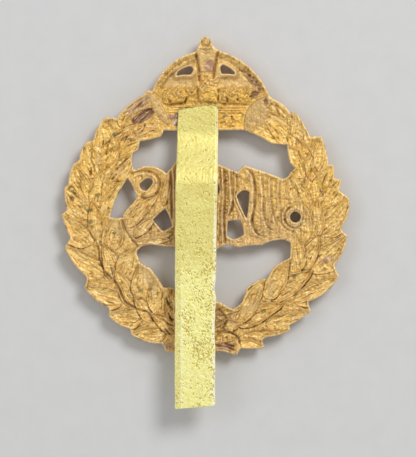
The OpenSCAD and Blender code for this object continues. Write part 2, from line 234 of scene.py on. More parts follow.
def contains(line, x, y):
    """Which points lie inside a closed line."""
    inside = np.zeros(x.shape, bool)
    ends = np.roll(line, -1, axis=0)
    for (ax, ay), (bx, by) in zip(line, ends):
        if ay == by:
            continue
        crosses = (ay > y) != (by > y)
        inside ^= crosses & (x < (bx - ax) * (y - ay) / (by - ay) + ax)
    return inside


def region_of(x, y):
    """The index of the region that holds each point, or -1 off the metal."""
    found = np.full(x.shape, -1)
    for k, line in enumerate(region_lines.values()):
        found[contains(line, x, y)] = k
    for line in cut_lines:
        found[contains(line, x, y)] = -1
    return found


def segments(line):
    return [(tuple(a), tuple(b)) for a, b in zip(line, np.roll(line, -1, axis=0))]


def key(point):
    return (round(point[0], 3), round(point[1], 3))


def edge_segments():
    """The pieces of outline with metal on one side only."""
    found = {}
    for line in list(region_lines.values()) + cut_lines:
        for a, b in segments(line):
            pair = frozenset((key(a), key(b)))
            found[pair] = None if pair in found else (a, b)
    return [s for s in found.values() if s is not None]


def window(x0, x1, y0, y1, margin):
    """The part of the grid round a box."""
    i0, i1 = np.searchsorted(GRID_Y, [y0 - margin, y1 + margin])
    j0, j1 = np.searchsorted(GRID_X, [x0 - margin, x1 + margin])
    return slice(max(i0 - 1, 0), i1 + 1), slice(max(j0 - 1, 0), j1 + 1)


def nearest_on(a, b, x, y):
    """The nearest point of a segment, and how far it is."""
    dx, dy = b[0] - a[0], b[1] - a[1]
    t = np.clip(((x - a[0]) * dx + (y - a[1]) * dy) / max(dx * dx + dy * dy, 1e-12), 0, 1)
    px, py = a[0] + t * dx, a[1] + t * dy
    return px, py, np.hypot(x - px, y - py), t


def edge_distance(reach):
    """Distance to the nearest edge of the metal, up to reach, and the point there."""
    distance = np.full(X.shape, float(reach))
    near_x, near_y = X.copy(), Y.copy()
    for a, b in edge_segments():
        w = window(min(a[0], b[0]), max(a[0], b[0]), min(a[1], b[1]), max(a[1], b[1]), reach)
        px, py, d, _ = nearest_on(a, b, X[w], Y[w])
        closer = d < distance[w]
        distance[w][closer] = d[closer]
        near_x[w][closer] = px[closer]
        near_y[w][closer] = py[closer]
    return distance, near_x, near_y


def fit_grid():
    """Moves the grid points beside each outline onto it. Returns which points hold metal, which were moved,
    and how far each is from an edge."""
    inside = region_of(X, Y) >= 0
    distance, near_x, near_y = edge_distance(EDGE_REACH)
    snapped = np.zeros(X.shape, bool)
    for di, dj in ((0, 1), (1, 0), (1, 1)):
        a = (slice(0, X.shape[0] - di), slice(0, X.shape[1] - dj))
        b = (slice(di, None), slice(dj, None))
        crossing = inside[a] != inside[b]
        first = distance[a] <= distance[b]
        snapped[a] |= crossing & first
        snapped[b] |= crossing & ~first
    X[snapped], Y[snapped] = near_x[snapped], near_y[snapped]
    distance[snapped] = 0
    return inside, snapped, distance


inside, snapped, edge = fit_grid()


def grid_triangles():
    """Triangles of the fitted grid that hold metal, and the region of each."""
    rows, columns = X.shape
    i, j = np.meshgrid(np.arange(rows - 1), np.arange(columns - 1), indexing="ij")
    a = (i * columns + j).ravel()
    b, c, d = a + 1, a + columns + 1, a + columns
    faces = np.concatenate([np.stack([a, b, c], 1), np.stack([a, c, d], 1)])
    holds = (inside | snapped).ravel()
    faces = faces[holds[faces].all(1)]
    x, y = X.ravel()[faces], Y.ravel()[faces]
    area = (x[:, 1] - x[:, 0]) * (y[:, 2] - y[:, 0]) - (x[:, 2] - x[:, 0]) * (y[:, 1] - y[:, 0])
    region = region_of(x.mean(1), y.mean(1))
    keep = (region >= 0) & (area > 1e-6)
    return faces[keep], region[keep]


# ---------------------------------------------------------------- relief

# Colour fields over the grid; line and lip also carry painted shade and painted highlight.
COLOUR_AND_SHADE_FIELDS = ("line", "lip", "pale", "tan", "gilt", "red", "green", "streaky")


class Relief:
    """Fields over the grid. back sinks below the back rim and front swells out of the front. line is dirt
    and painted shade in the creases, lip is bare metal and painted highlight on the ridges and rims, pale is
    smooth grey-tan metal, tan is dull metal, gilt is clean gold and, on the top of the wreath, painted
    brighter light, red is copper stain and green is verdigris, and round the slider's top end also painted
    shade. across and along are millimetres over and down the grain, and streaky is how strongly the grain
    shows."""

    def __init__(self):
        for name in ("back", "front") + COLOUR_AND_SHADE_FIELDS:
            setattr(self, name, np.zeros(X.shape))
        self.streaky += 0.4
        self.across, self.along = X.copy(), Y.copy()


relief = Relief()

# The places at which leaves are measured, pushed about a little so that no edge is straight
WARP_X = X + 0.16 * cloudy(X, Y, 1.2, 41)
WARP_Y = Y + 0.16 * cloudy(X, Y, 1.2, 43)


def leaf(base, tip, half, dish, swell, bend=0.0, seed=0, shadow=0, clarity=1.0, spill=0.0, dull=0.15):
    """Paints a pointed leaf over what is there: a shallow dish with a lip and a crease on the back, and a
    swelling with a midrib on the front. The crease is coloured dark as dirt and painted shade, and the lip
    and midrib bright as bare metal and painted highlight. shadow is the side whose crease is deeper and
    painted darker, as painted shadow: 1 is left. spill widens the leaf on that side, or on the other one
    below 0, to run off the edge of the metal."""
    dx, dy = tip[0] - base[0], tip[1] - base[1]
    length = math.hypot(dx, dy)
    w = window(min(base[0], tip[0]), max(base[0], tip[0]), min(base[1], tip[1]), max(base[1], tip[1]),
               half + abs(bend) + abs(spill) + 0.5)
    x, y = WARP_X[w] - base[0], WARP_Y[w] - base[1]
    along = np.clip((x * dx + y * dy) / length**2, 0, 1)
    beyond = np.abs((x * dx + y * dy) / length - along * length)
    v = (y * dx - x * dy) / length - bend * 4 * along * (1 - along)
    outward = 0.5 + 0.5 * np.tanh(v * shadow * math.copysign(3, spill))
    wide = half * (along**0.55) * ((1 - along) ** 0.85) / 0.3918
    wide = wide + abs(spill) * outward * np.sqrt(4 * along * (1 - along))
    side = wide - np.abs(v) - beyond
    within = side > 0
    deeper = 0.5 + 0.5 * np.tanh(v * shadow * 3)
    open_metal = smooth(0.1, 0.55, edge[w])
    broken = np.clip(0.5 + 1.1 * noise(X[w] / 1.1, Y[w] / 1.1, seed + 3), 0, 1.2)
    crease = bell(side + 0.05, 0.085) * broken * (0.3 + 0.8 * deeper) * open_metal * clarity
    broken = np.clip(0.25 + 1.2 * noise(X[w] / 0.9, Y[w] / 0.9, seed + 6), 0, 1)
    ridge = bell(side - 0.15, 0.12) * broken * open_metal * (0.35 + 0.65 * clarity)
    across = v / (wide + 0.25)
    streak = noise(across * half / 0.2 + np.sign(v) * along * 2.2, along * length / 1.7, seed)
    fine = noise(across * half / 0.12 + np.sign(v) * along * 4, along * length / 0.9, seed + 1)
    texture = 0.055 * streak + 0.035 * fine
    midrib = bell(v + 0.1 * noise(along * 6, along * 0, seed), 0.09) * smooth(0.04, 0.2, along) * clarity
    midrib = midrib * (1 - smooth(0.5, 0.9, along)) * max(0.0, float(noise(seed * 0.7, 0.5, 12)) + 0.6)
    floor = smooth(0, 0.4, side)
    sink = dish * (0.5 + 0.5 * clarity) * floor * (1 - 0.3 * np.clip(np.abs(across), 0, 1) ** 2)
    level = -0.14 - sink + 0.12 * (along - 0.5) + texture * floor + 0.05 * ridge + 0.05 * midrib
    relief.back[w][within] = level[within]
    relief.line[w][within] = (0.3 * np.clip(-streak - 0.25, 0, 1) * floor)[within]
    bare_streak = 0.35 * np.clip(streak - 0.25, 0, 1) * floor
    # Painted highlight with bare metal: the lip, the midrib and pale streaks are coloured bright.
    relief.lip[w][within] = (0.55 * ridge + 0.4 * midrib + bare_streak)[within]
    # Painted shade with dirt: the crease darkens the colour, more on the shadow side.
    relief.line[w] += crease
    relief.back[w] -= 0.16 * crease
    relief.lip[w] *= 1 - 0.8 * np.clip(crease, 0, 1)
    dulled = 0.2 * np.clip(noise(X[w] / 1.7, Y[w] / 1.7, 77), 0, 1)
    relief.tan[w][within] = dull + 0.25 * ridge[within] + dulled[within]
    relief.pale[w][within] = 0
    relief.across[w][within] = (across * half + seed * 3.7)[within]
    relief.along[w][within] = (along * length + np.abs(across) * 0.6 + seed * 5.3)[within]
    relief.streaky[w][within] = 1
    dome = np.clip(1 - (np.abs(v) / np.maximum(wide, 0.05)) ** 2, 0, 1) ** 0.6
    veins = noise((along * length + np.abs(v) * 0.9) / 0.45, v * 0 + seed, seed + 8)
    raised = swell * (0.55 + 0.45 * dome) * smooth(0, 0.25, side)
    raised = raised + 0.06 * veins * dome - 0.22 * bell(v, 0.12) * smooth(0.02, 0.1, along)
    relief.front[w][within] = raised[within]


def path_points(points, steps=8):
    """A smooth line through the points given."""
    p = [points[0]] + list(points) + [points[-1]]
    out = []
    for k in range(1, len(p) - 2):
        for i in range(steps):
            t = i / steps
            out.append(tuple(
                0.5 * (2 * p[k][c] + (p[k + 1][c] - p[k - 1][c]) * t
                       + (2 * p[k - 1][c] - 5 * p[k][c] + 4 * p[k + 1][c] - p[k + 2][c]) * t * t
                       + (3 * p[k][c] - p[k - 1][c] - 3 * p[k + 1][c] + p[k + 2][c]) * t**3)
                for c in (0, 1)))
    return out + [tuple(points[-1])]


def stroke(points, width, height, front=0.0, wander=0.25, smoothing=8):
    """A ridge, or a crease where height is below 0, along a smooth line. It thins at its ends. A crease is
    coloured dark with dirt and painted shade, and a ridge bright with bare metal and painted highlight.
    """
    line = path_points(points, smoothing) if len(points) > 2 else [tuple(p) for p in points]
    xs, ys = [p[0] for p in line], [p[1] for p in line]
    w = window(min(xs), max(xs), min(ys), max(ys), width * 4)
    best = np.full(X[w].shape, 99.0)
    share = np.zeros(X[w].shape)
    for k in range(len(line) - 1):
        _, _, d, t = nearest_on(line[k], line[k + 1], X[w], Y[w])
        closer = d < best
        best[closer] = d[closer]
        share[closer] = ((k + t) / (len(line) - 1))[closer]
    ends = np.clip(np.minimum(share, 1 - share) * 8, 0, 1) * 0.7 + 0.3
    strength = (1 + wander * noise(X[w] / 0.6, Y[w] / 0.6, 11)) * ends
    shape = bell(best, width) * strength
    relief.back[w] += height * shape
    relief.front[w] += front * bell(best, width * 1.6) * ends
    # Painted shade and dirt in a crease; painted highlight and bare metal on a ridge.
    if height < 0:
        relief.line[w] = np.maximum(relief.line[w], shape * min(1, -height * 6))
        relief.lip[w] *= 1 - shape
    else:
        relief.lip[w] = np.maximum(relief.lip[w], shape * min(1, height * 7))


def strokes(width, height, wander, lines):
    """The same kind of stroke along several lines."""
    for points in lines:
        stroke(points, width, height, wander=wander)


def nodule(x, y, r, height, ring=0.0, front=0.0, squash=1.0):
    """A round bump on the back, or a pit where height is below 0, with a dark ring of the strength given,
    painted as shade and dirt round its foot. A bump gets a painted highlight on its top and a pit painted
    shade inside. squash narrows it from top to bottom, or lengthens it below 1."""
    w = window(x, x, y, y, r * 2.4)
    d = np.hypot(X[w] - x, (Y[w] - y) * squash)
    dome = np.clip(1 - (d / r) ** 2, 0, 1) ** 0.7
    relief.back[w] += height * dome - 0.07 * ring * bell(d - r * 1.12, 0.1)
    relief.front[w] += front * np.clip(1 - (d / (1.4 * r)) ** 2, 0, 1)
    # Painted shade: the dark ring and the dark inside of a pit; painted highlight: the bright top of a bump.
    relief.line[w] = np.maximum(relief.line[w], ring * bell(d - r * 1.12, 0.11))
    if height > 0:
        relief.lip[w] = np.maximum(relief.lip[w], 0.8 * bell(d, r * 0.6))
    else:
        relief.line[w] = np.maximum(relief.line[w], min(1, -height * 3) * bell(d, r * 0.7))


def distance_inside(line, reach):
    """How far each grid point lies inside a closed line; negative outside, out to reach."""
    box = line.min(0), line.max(0)
    w = window(box[0][0], box[1][0], box[0][1], box[1][1], reach)
    best = np.full(X[w].shape, 99.0)
    for a, b in segments(line):
        best = np.minimum(best, nearest_on(a, b, X[w], Y[w])[2])
    return w, np.where(contains(line, X[w], Y[w]), best, -best)


def pool(points, depth, soft=0.35, front=0.0, texture=0.0, seed=0, **fields):
    """Sinks the back inside a closed outline, with a sloped wall of width soft, and sets fields there."""
    w, d = distance_inside(outline(points), soft)
    inner = smooth(-soft * 0.3, soft, d)
    relief.back[w] -= depth * inner
    relief.back[w] += texture * inner * cloudy(X[w], Y[w], 0.55, seed)
    relief.front[w] += front * inner
    for name, value in fields.items():
        field = getattr(relief, name)
        field[w] = field[w] * (1 - inner) + value * inner


def level_off(points, level, soft, **fields):
    """Covers all inside a closed outline with worn metal at about one level, and sets fields there."""
    w, d = distance_inside(outline(points), soft)
    inner = smooth(-soft * 0.3, soft, d)
    relief.back[w] = relief.back[w] * (1 - inner) + level * inner
    relief.back[w] += inner * (0.05 * cloudy(X[w], Y[w], 1.5, 19) + 0.05 * cloudy(X[w], Y[w], 0.45, 20))
    for name, value in {"line": 0, "lip": 0, "streaky": 0, **fields}.items():
        field = getattr(relief, name)
        field[w] = field[w] * (1 - inner) + value * inner


def in_region(name):
    """The part of the grid round a region, and which of its points are in the region."""
    line = region_lines[name]
    (x0, y0), (x1, y1) = line.min(0), line.max(0)
    w = window(x0, x1, y0, y1, 0.5)
    return w, contains(line, X[w], Y[w])


# Leaves are (base x, base y, tip x, tip y, half width, bend), from the crown down to the tie
LEFT_OUTER = [
    (-10.9, 10.9, -7.7, 15.9, 1.3, -0.2), (-12.6, 7.4, -13.2, 12.5, 1.45, 0.15),
    (-14.1, 4.6, -15.7, 9.3, 1.3, 0.15), (-15, 2, -17.5, 6.3, 1.3, 0.2),
    (-15.2, -0.6, -18.6, 3.3, 1.3, 0.25), (-14.8, -4, -19, -0.3, 1.4, 0.3),
    (-13.2, -8.1, -18.6, -4.5, 1.55, 0.35), (-10.8, -11.6, -16, -9.8, 1.35, 0.3),
    (-8, -13.3, -12.8, -13.5, 1.2, 0.3), (-5.2, -15.7, -9.9, -15.9, 1.05, 0.3)]
LEFT_INNER = [
    (-10.8, 9.1, -5.7, 10.7, 0.95, 0.15), (-12.3, 6.1, -8.7, 9.3, 1, 0.2),
    (-13.3, 3.6, -9.6, 7.8, 1.15, 0.25), (-13.7, -0.6, -10.3, 4.5, 1.1, 0.2),
    (-12.9, -5, -11.7, -0.7, 1.2, 0.1), (-11, -8.6, -9, -4.6, 1.5, 0.1),
    (-8.6, -11.4, -8.4, -6.6, 1.4, -0.1), (-6.2, -13.4, -6.7, -8.9, 1.35, -0.1),
    (-4, -14.9, -4.6, -10, 1.1, 0)]
LEFT_MIDDLE = [
    (-10.6, 10, -6.3, 13.9, 1.25, 0.25), (-12.7, 7, -9.3, 11.6, 1.15, 0.3),
    (-13.9, 4.8, -11.2, 8.9, 1.2, 0.3), (-14.3, 0.2, -13.5, 5.9, 1.25, 0.1),
    (-14.2, -4.4, -14.9, 1.6, 1.2, -0.1), (-11.9, -9.2, -13.4, -3.9, 1.3, -0.25),
    (-9.4, -12.4, -11.9, -7.6, 1.3, -0.25), (-6.8, -14.4, -9.5, -10.9, 1.15, -0.2),
    (-4, -15.8, -7.2, -13.2, 1, -0.1)]
RIGHT_OUTER = [
    (10.9, 10.8, 8.7, 15.1, 1.35, 0.1), (12.1, 7.7, 11.9, 13.1, 1.3, -0.2),
    (13.7, 4.9, 15.2, 9.9, 1.35, -0.2), (14.6, 2.4, 16.7, 6.4, 1.15, -0.2),
    (14.8, 0.3, 17.8, 4.3, 1.2, -0.2), (14.7, -2.7, 18.9, 2, 1.6, -0.45),
    (13.3, -7.5, 18.7, -3, 1.5, -0.35), (11.6, -11.6, 17.6, -8.4, 1.35, -0.35),
    (8, -14.9, 13.9, -13, 1.15, -0.25), (5, -16.2, 11.1, -15.6, 0.95, -0.25),
    (4.6, -17, 7.8, -17.7, 0.6, 0)]
RIGHT_INNER = [
    (10.6, 9.7, 5.6, 11.9, 1.2, -0.15), (13, 4.6, 11.1, 8.8, 1.1, -0.15),
    (13.4, -0.2, 11.4, 5, 1.15, -0.2), (13, -3.8, 12.9, 1.4, 1.1, 0), (11.9, -8, 11.9, -2.6, 1.35, 0),
    (8.2, -11.4, 10.9, -6.4, 1.35, 0.1), (4, -14.6, 7.6, -8.9, 1.5, 0.15)]
RIGHT_MIDDLE = [
    (11.9, 8.5, 7.3, 13.6, 1.4, -0.2), (13.7, 5, 12.1, 9.8, 1.2, -0.2), (14.5, 0.9, 13.8, 6, 1.2, -0.15),
    (14.2, -3.5, 14.8, 1.8, 1.3, 0), (12.2, -8.1, 15.1, -2.8, 1.3, 0.15),
    (8.7, -11.6, 14.2, -7.7, 1.3, 0.25), (4.2, -14.9, 10.4, -12, 1.25, 0.3)]

# The line down the left branch where its outer leaves meet the middle ones
LEFT_STEM = [
    (-15.8, -1.7), (-14.6, -3.7), (-14.1, -4.9), (-14, -6), (-13.4, -7.5), (-12.8, -8.3), (-11.9, -9.1),
    (-11.2, -10.4), (-10.6, -11.7), (-9.7, -12.3), (-8.5, -12.9), (-7.7, -13.1), (-7.1, -13.9),
    (-6, -15.3), (-5.2, -15.8)]
# Creases between the upper leaves, where the striking is soft
LEAF_CREASES = [
    [(-8.1, 11.4), (-10.9, 9.7), (-11.4, 8.9)], [(-10.8, 10.8), (-12.4, 9.7), (-13.9, 8.3)],
    [(-10.4, 7.2), (-11.4, 5.9), (-12.7, 5.2)], [(-11.3, 8), (-11.7, 6.4), (-12.7, 5.4)],
    [(-17.1, 6.2), (-17.2, 4.7), (-16.7, 3.5), (-15.8, 1.8)], [(-15.1, 6), (-15.1, 4.9)],
    [(-12.7, 3.3), (-12.1, 4), (-11.3, 4.1)], [(-13.1, 7.6), (-12.8, 9.1), (-12.2, 10.3)],
    [(13.3, 8.2), (12.1, 9.6), (11, 10.4)], [(14.9, 5), (14.2, 6.6), (14.3, 8.3)],
    [(15.6, 1.6), (15.4, 3.6), (16, 5.2)], [(12.6, 3.2), (13.2, 5.1), (12.9, 6.8)]]
# Finer creases there
FINE_CREASES = [
    [(-11.3, 9.45), (-9.9, 9.75), (-8.4, 10.7), (-7.9, 11.9)], [(-9.6, 9.1), (-10.4, 8.7), (-10.8, 8.2)],
    [(-9.9, 7.4), (-11.6, 6), (-13, 4.9)], [(-11.1, 5.6), (-12, 4.7), (-13, 4.2)],
    [(-13.4, 9.6), (-13.6, 8.4), (-13.9, 7.7)], [(-16.5, 6.6), (-16.6, 5.2), (-16.3, 4.2)],
    [(-14.9, 8.3), (-15.1, 7), (-14.9, 6)], [(-9.4, 6.9), (-10.6, 6), (-11.2, 5.5)],
    [(10.7, 12.9), (10.8, 11.6), (10.95, 9.9)], [(13.4, 8.4), (13.9, 7.8), (14.1, 6.6), (13.9, 5.3)],
    [(15.7, 6.8), (14.9, 5.1), (14, 3.9), (13.8, 2.7)], [(13.2, 4.9), (13.5, 4.6), (13.9, 4.1)],
    [(17.4, 2.4), (16.9, 1.9), (16.5, 1.5)], [(16.9, 3.7), (16.7, 3.4), (16.4, 3)],
    [(15.8, 2.9), (15.8, 2.5), (15.7, 2.1)], [(11.5, 4), (12.1, 2.1), (12.9, 0.7)],
    [(14.6, 3.5), (15.2, 2.7), (15.4, 1.9)], [(12.2, 8.3), (12.5, 7.2), (13.1, 6)]]
# Rounded ridges between and along the leaves
WORN_RIDGES = [
    [(-14.25, 9.1), (-14.2, 7.6), (-14.25, 6.1)], [(-11.3, 5.3), (-12.9, 4.7), (-13.5, 3.9)],
    [(-17.1, 2.8), (-16.4, 1.8)], [(-16.1, 2.1), (-16.1, 0.7)], [(-9.7, 11.2), (-10.9, 10.4), (-12, 9.9)],
    [(-8.4, 10.9), (-9.8, 10.2), (-10.8, 9.4)], [(12.4, 10.4), (13.3, 9.4), (14, 7.9)],
    [(13.2, 0.7), (13.8, -0.6), (13.9, -1.9)], [(-10.9, 9.5), (-8.6, 10.2), (-6.1, 11.5)],
    [(-8.8, 11), (-7.4, 11.3), (-6.2, 11.2)], [(-10, 7.1), (-11.5, 5.7), (-12.9, 4.6)],
    [(-9.7, 6), (-10.9, 5.4), (-12.3, 4.2)], [(14.1, 7.8), (14.35, 6.9), (14.3, 6)],
    [(15.3, 6.4), (14.6, 5), (13.9, 4.2)], [(12, 5), (12.8, 4.7), (13.6, 4)],
    [(11.7, 10), (12.3, 9.9), (12.3, 9.3), (11.8, 9.2)]]


def turn_from_top(row):
    """The angle of a leaf's middle round the wreath, from the crown down either side."""
    return math.atan2(abs(row[0] + row[2]), row[1] + row[3])


def branch_leaves(outer, inner, middle, seed, shadow, sharp_below):
    """A branch's leaves from the crown down, so that each lower leaf lies over the bases above it. The
    striking is sharper low down, and the inner leaves of the left branch are worn most."""
    inner_sharp, middle_sharp = (0.45, 0.65) if shadow > 0 else (0.8, 1.0)
    rows = [(row, 0.24, SIDE_RELIEF, 1.0, 0.55) for row in outer]
    rows += [(row, 0.24, SIDE_RELIEF, inner_sharp, -0.55) for row in inner]
    rows += [(row, 0.36, MIDDLE_RELIEF, middle_sharp, 0) for row in middle]
    rows.sort(key=lambda entry: turn_from_top(entry[0]))
    for k, ((bx, by, tx, ty, half, bend), dish, swell, sharp, spill) in enumerate(rows):
        clarity = sharp * (1 - 0.65 * float(smooth(-2.5, 2.5, (by + ty) / 2 - sharp_below)))
        leaf((bx, by), (tx, ty), half, dish, swell, bend, seed + k, shadow, clarity, spill)


def paint_base(name, back, front, tan, line=0.1):
    """A node's ground before anything is struck into it."""
    w, inner = in_region(name)
    relief.back[w][inner] = (back + 0.06 * cloudy(X[w], Y[w], 0.6, 3))[inner]
    relief.front[w][inner] = front
    relief.tan[w][inner] = tan
    relief.line[w][inner] = line


def stain(field, x, y, rx, ry, angle, strength):
    """A soft patch with a ragged edge."""
    w = window(x, x, y, y, max(rx, ry) * 1.6)
    c, s = math.cos(math.radians(angle)), math.sin(math.radians(angle))
    a, b = (X[w] - x) * c + (Y[w] - y) * s, (Y[w] - y) * c - (X[w] - x) * s
    d = np.hypot(a / rx, b / ry) + 0.3 * cloudy(X[w], Y[w], 0.7, 17)
    field[w] = np.maximum(field[w], strength * (1 - smooth(0.65, 1.1, d)))


def paint_leaves():
    """The leaves of both branches, with their creases, ridges and stains."""
    for name in ("left_branch", "right_branch", "branch_tie"):
        paint_base(name, -0.3, 0.5, 0.35)
    branch_leaves(LEFT_OUTER, LEFT_INNER, LEFT_MIDDLE, 20, 1, -1)
    branch_leaves(RIGHT_OUTER, RIGHT_INNER, RIGHT_MIDDLE, 60, -1, -5.5)
    strokes(0.08, -0.13, 0.7, LEAF_CREASES)
    strokes(0.06, -0.11, 0.8, FINE_CREASES)
    strokes(0.14, 0.13, 0.6, WORN_RIDGES)
    stroke(LEFT_STEM, 0.11, -0.17, wander=0.5)
    for patch in (
            (-7.5, -8.9, 2.4, 0.9, -60, 0.8), (-11.2, -2.3, 1.9, 1.0, -35, 0.6),
            (8.6, -10.3, 1.4, 0.45, 80, 0.8), (5.9, -12.6, 1.7, 0.6, 25, 0.8),
            (13.6, -1.5, 0.8, 0.4, -20, 0.7), (-14.1, -2.6, 0.4, 0.3, 0, 0.9),
            (12.4, 11, 1.6, 0.6, -50, 0.5)):
        stain(relief.pale, *patch)
    stain(relief.red, 16.1, -6.2, 1.2, 0.35, 22, 0.55)
    for x, y, r in (
            (-15.4, 0.3, 0.25), (-14.2, 2.3, 0.28), (-12, 10.3, 0.25), (-12.7, 12.1, 0.2),
            (-15.2, -1.2, 0.25), (-15, -1.9, 0.25), (-13.9, -3.9, 0.2), (-12, -2.7, 0.22),
            (-8.5, -10.3, 0.25), (-7.3, -10.1, 0.2), (-8.5, -11.3, 0.22), (-9.8, -14.9, 0.2),
            (-9, -16.1, 0.2), (-4.7, -11.9, 0.2), (11.7, -8.4, 0.28), (7.7, -13, 0.28), (17.6, -4.9, 0.22),
            (2.4, 12.6, 0.22)):
        stain(relief.green, x, y, r * 1.3, r, 30, 0.85)


def paint_ends():
    """The smooth ends of the branches, lying over the crown, and the folds and pits beside them."""
    level_off([(-7.5, 15.9, 0), (-6.3, 15.6, 0), (-5, 13.9, 0), (-4.2, 11, 0), (-5.2, 11.3, 0),
               (-6.5, 12.9, 0), (-7.3, 14.3, 0)], -0.12, 0.55, pale=0.6, tan=0.5, line=0.1, streaky=0.35)
    level_off([(7.3, 15.9, 0), (8.7, 15.3, 0), (8.7, 13.8, 0), (8.1, 11.6, 0), (6.4, 10.6, 0),
               (4.9, 10.8, 0), (5, 12.9, 0), (6, 14.9, 0)], -0.12, 0.7, pale=0.6, tan=0.5, line=0.36,
              streaky=0.35)
    for points in (CROWN_LEFT[0], CROWN_LEFT_END), (CROWN_RIGHT[0], CROWN_RIGHT_END):
        edge_line = stretch(points[0], points[1], 13) + [points[1][:2]]
        stroke([tuple(q) for q in edge_line], 0.1, -0.14, wander=0.4)
    # a deep fold where the top left leaf doubles over
    stain(relief.pale, -8.9, 14.2, 2.2, 1.0, 38, 0.75)
    stain(relief.red, -8.9, 14.3, 2.1, 0.95, 38, 0.45)
    pool([(-10.1, 12.25, 0.1), (-8.2, 13.6, 0), (-6.95, 14, 0.15), (-6.6, 13.2, 0), (-7.65, 12.3, 0),
          (-8.5, 11.7, 0.1), (-9.6, 11.5, 0.1)], 0.32, 0.25, texture=0.1, red=0.9, tan=0.5, line=0.1,
         seed=21)
    stroke([(-10, 12.7), (-9, 13.35), (-8.1, 13.95), (-7, 14.3)], 0.12, 0.08)
    strokes(0.08, -0.13, 0.8, [
        [(-10.4, 13.6), (-9.2, 14.5), (-7.7, 15.4)], [(-9.7, 13.3), (-8.5, 14.4), (-7.5, 15.1)],
        [(-10.9, 13), (-10.1, 13.3)], [(-8.6, 13.9), (-7.6, 14.5)], [(8.5, 14.5), (9.3, 13.7), (9.9, 12.6)]])
    for x, y, r, squash in ((-17.7, 3.1, 0.28, 1), (-17.6, 1.8, 0.2, 1), (7.95, 14.6, 0.22, 0.5)):
        nodule(x, y, r, -0.16, 0.9, squash=squash)
    stain(relief.red, 7.95, 14.6, 0.3, 0.55, 0, 0.7)


def paint_tie():
    """Leaves and a fold of ribbon where the branches cross."""
    leaf((1.2, -13.2), (4.4, -12.9), 0.7, 0.3, SIDE_RELIEF, 0.2, 95, -1, 0.7)
    leaf((0.6, -15.8), (4.9, -14.6), 1.0, 0.35, SIDE_RELIEF, 0.2, 96, -1, 0.8)
    leaf((1, -16.9), (4.6, -16.3), 0.8, 0.35, SIDE_RELIEF, 0.25, 97, -1, 0.8)
    stroke([(1.4, -16.1), (2.6, -15.6), (4.1, -16.3), (4.6, -17.4)], 0.14, -0.2)
    pool([(-0.1, -12.9, 0), (1.7, -12.6, 0), (2.7, -14.1, 0), (2, -15.4, 0), (-0.1, -15.2, 0)], 0.2, 0.3,
         texture=0.14, seed=31, tan=0.6, line=0.35)
    stain(relief.pale, 2, -13.5, 0.6, 0.7, 20, 1)
    stain(relief.red, 2, -13.5, 0.5, 0.6, 20, 0.25)
    stain(relief.pale, 3.4, -14.6, 1.1, 0.6, -50, 0.7)
    stain(relief.red, 3.5, -13.7, 0.5, 1.0, 0, 0.25)
    for k in range(9):
        nodule(1.55 + 0.32 * (k % 3) + 0.08 * math.sin(k * 2), -13.05 - 0.33 * (k // 3), 0.11, 0.08, 0.5)
    stroke([(1.7, -12.6), (2.85, -14.15)], 0.14, -0.24)
    stroke([(2.85, -14.15), (2.1, -15.5)], 0.16, -0.26)
    for k in range(6):
        x = 1.65 + 0.42 * k + 0.1 * math.sin(k * 4)
        stroke([(x, -16.25 - 0.05 * k), (x + 0.2, -16.5), (x + 0.25, -16.95)], 0.05, -0.07 - 0.03 * (k % 3))
    stain(relief.pale, 2.5, -17.6, 1.8, 0.6, -10, 0.8)
    stain(relief.red, 2.5, -17.6, 1.7, 0.55, -10, 0.55)
    stain(relief.red, 3.1, -17.7, 0.6, 0.3, -10, 0.85)
    strokes(0.11, -0.2, 0.8, [
        [(1.3, -17.5), (2.6, -17.75), (3.9, -18.15)], [(2.5, -17.25), (3.2, -17.5), (3.8, -17.65)],
        [(1.9, -18), (2.7, -18.1), (3.3, -18.3)]])
    stain(relief.red, -4.9, -17.6, 0.7, 0.5, 0, 0.5)
    for points in (
            [(-5.2, -11.2), (-4.8, -12.2), (-4.2, -12.9)], [(-5.6, -14.1), (-4.9, -14.7), (-4.2, -14.9)],
            [(-5.4, -15.3), (-4.8, -15.9), (-4.2, -16.4)], [(-4.9, -13.2), (-4.6, -13.9), (-4.2, -14.2)]):
        stroke(points, 0.09, -0.18, wander=0.8)
        stroke([(x + 0.12, y + 0.25) for x, y in points], 0.12, 0.14, wander=0.8)


def arc(x, y, r, start, end, count=9):
    """Points along an arc, between two angles in degrees."""
    angles = np.radians(np.linspace(start, end, count))
    return [(x + r * math.cos(a), y + r * math.sin(a)) for a in angles]


def reed(points, width, height=0.14):
    """A rounded ridge down the panel with a crease along its right side, as the back of a fold has."""
    stroke([(x + width * 1.5, y) for x, y in points], width * 0.55, -height * 1.3)
    stroke(points, width, height, front=-0.15)


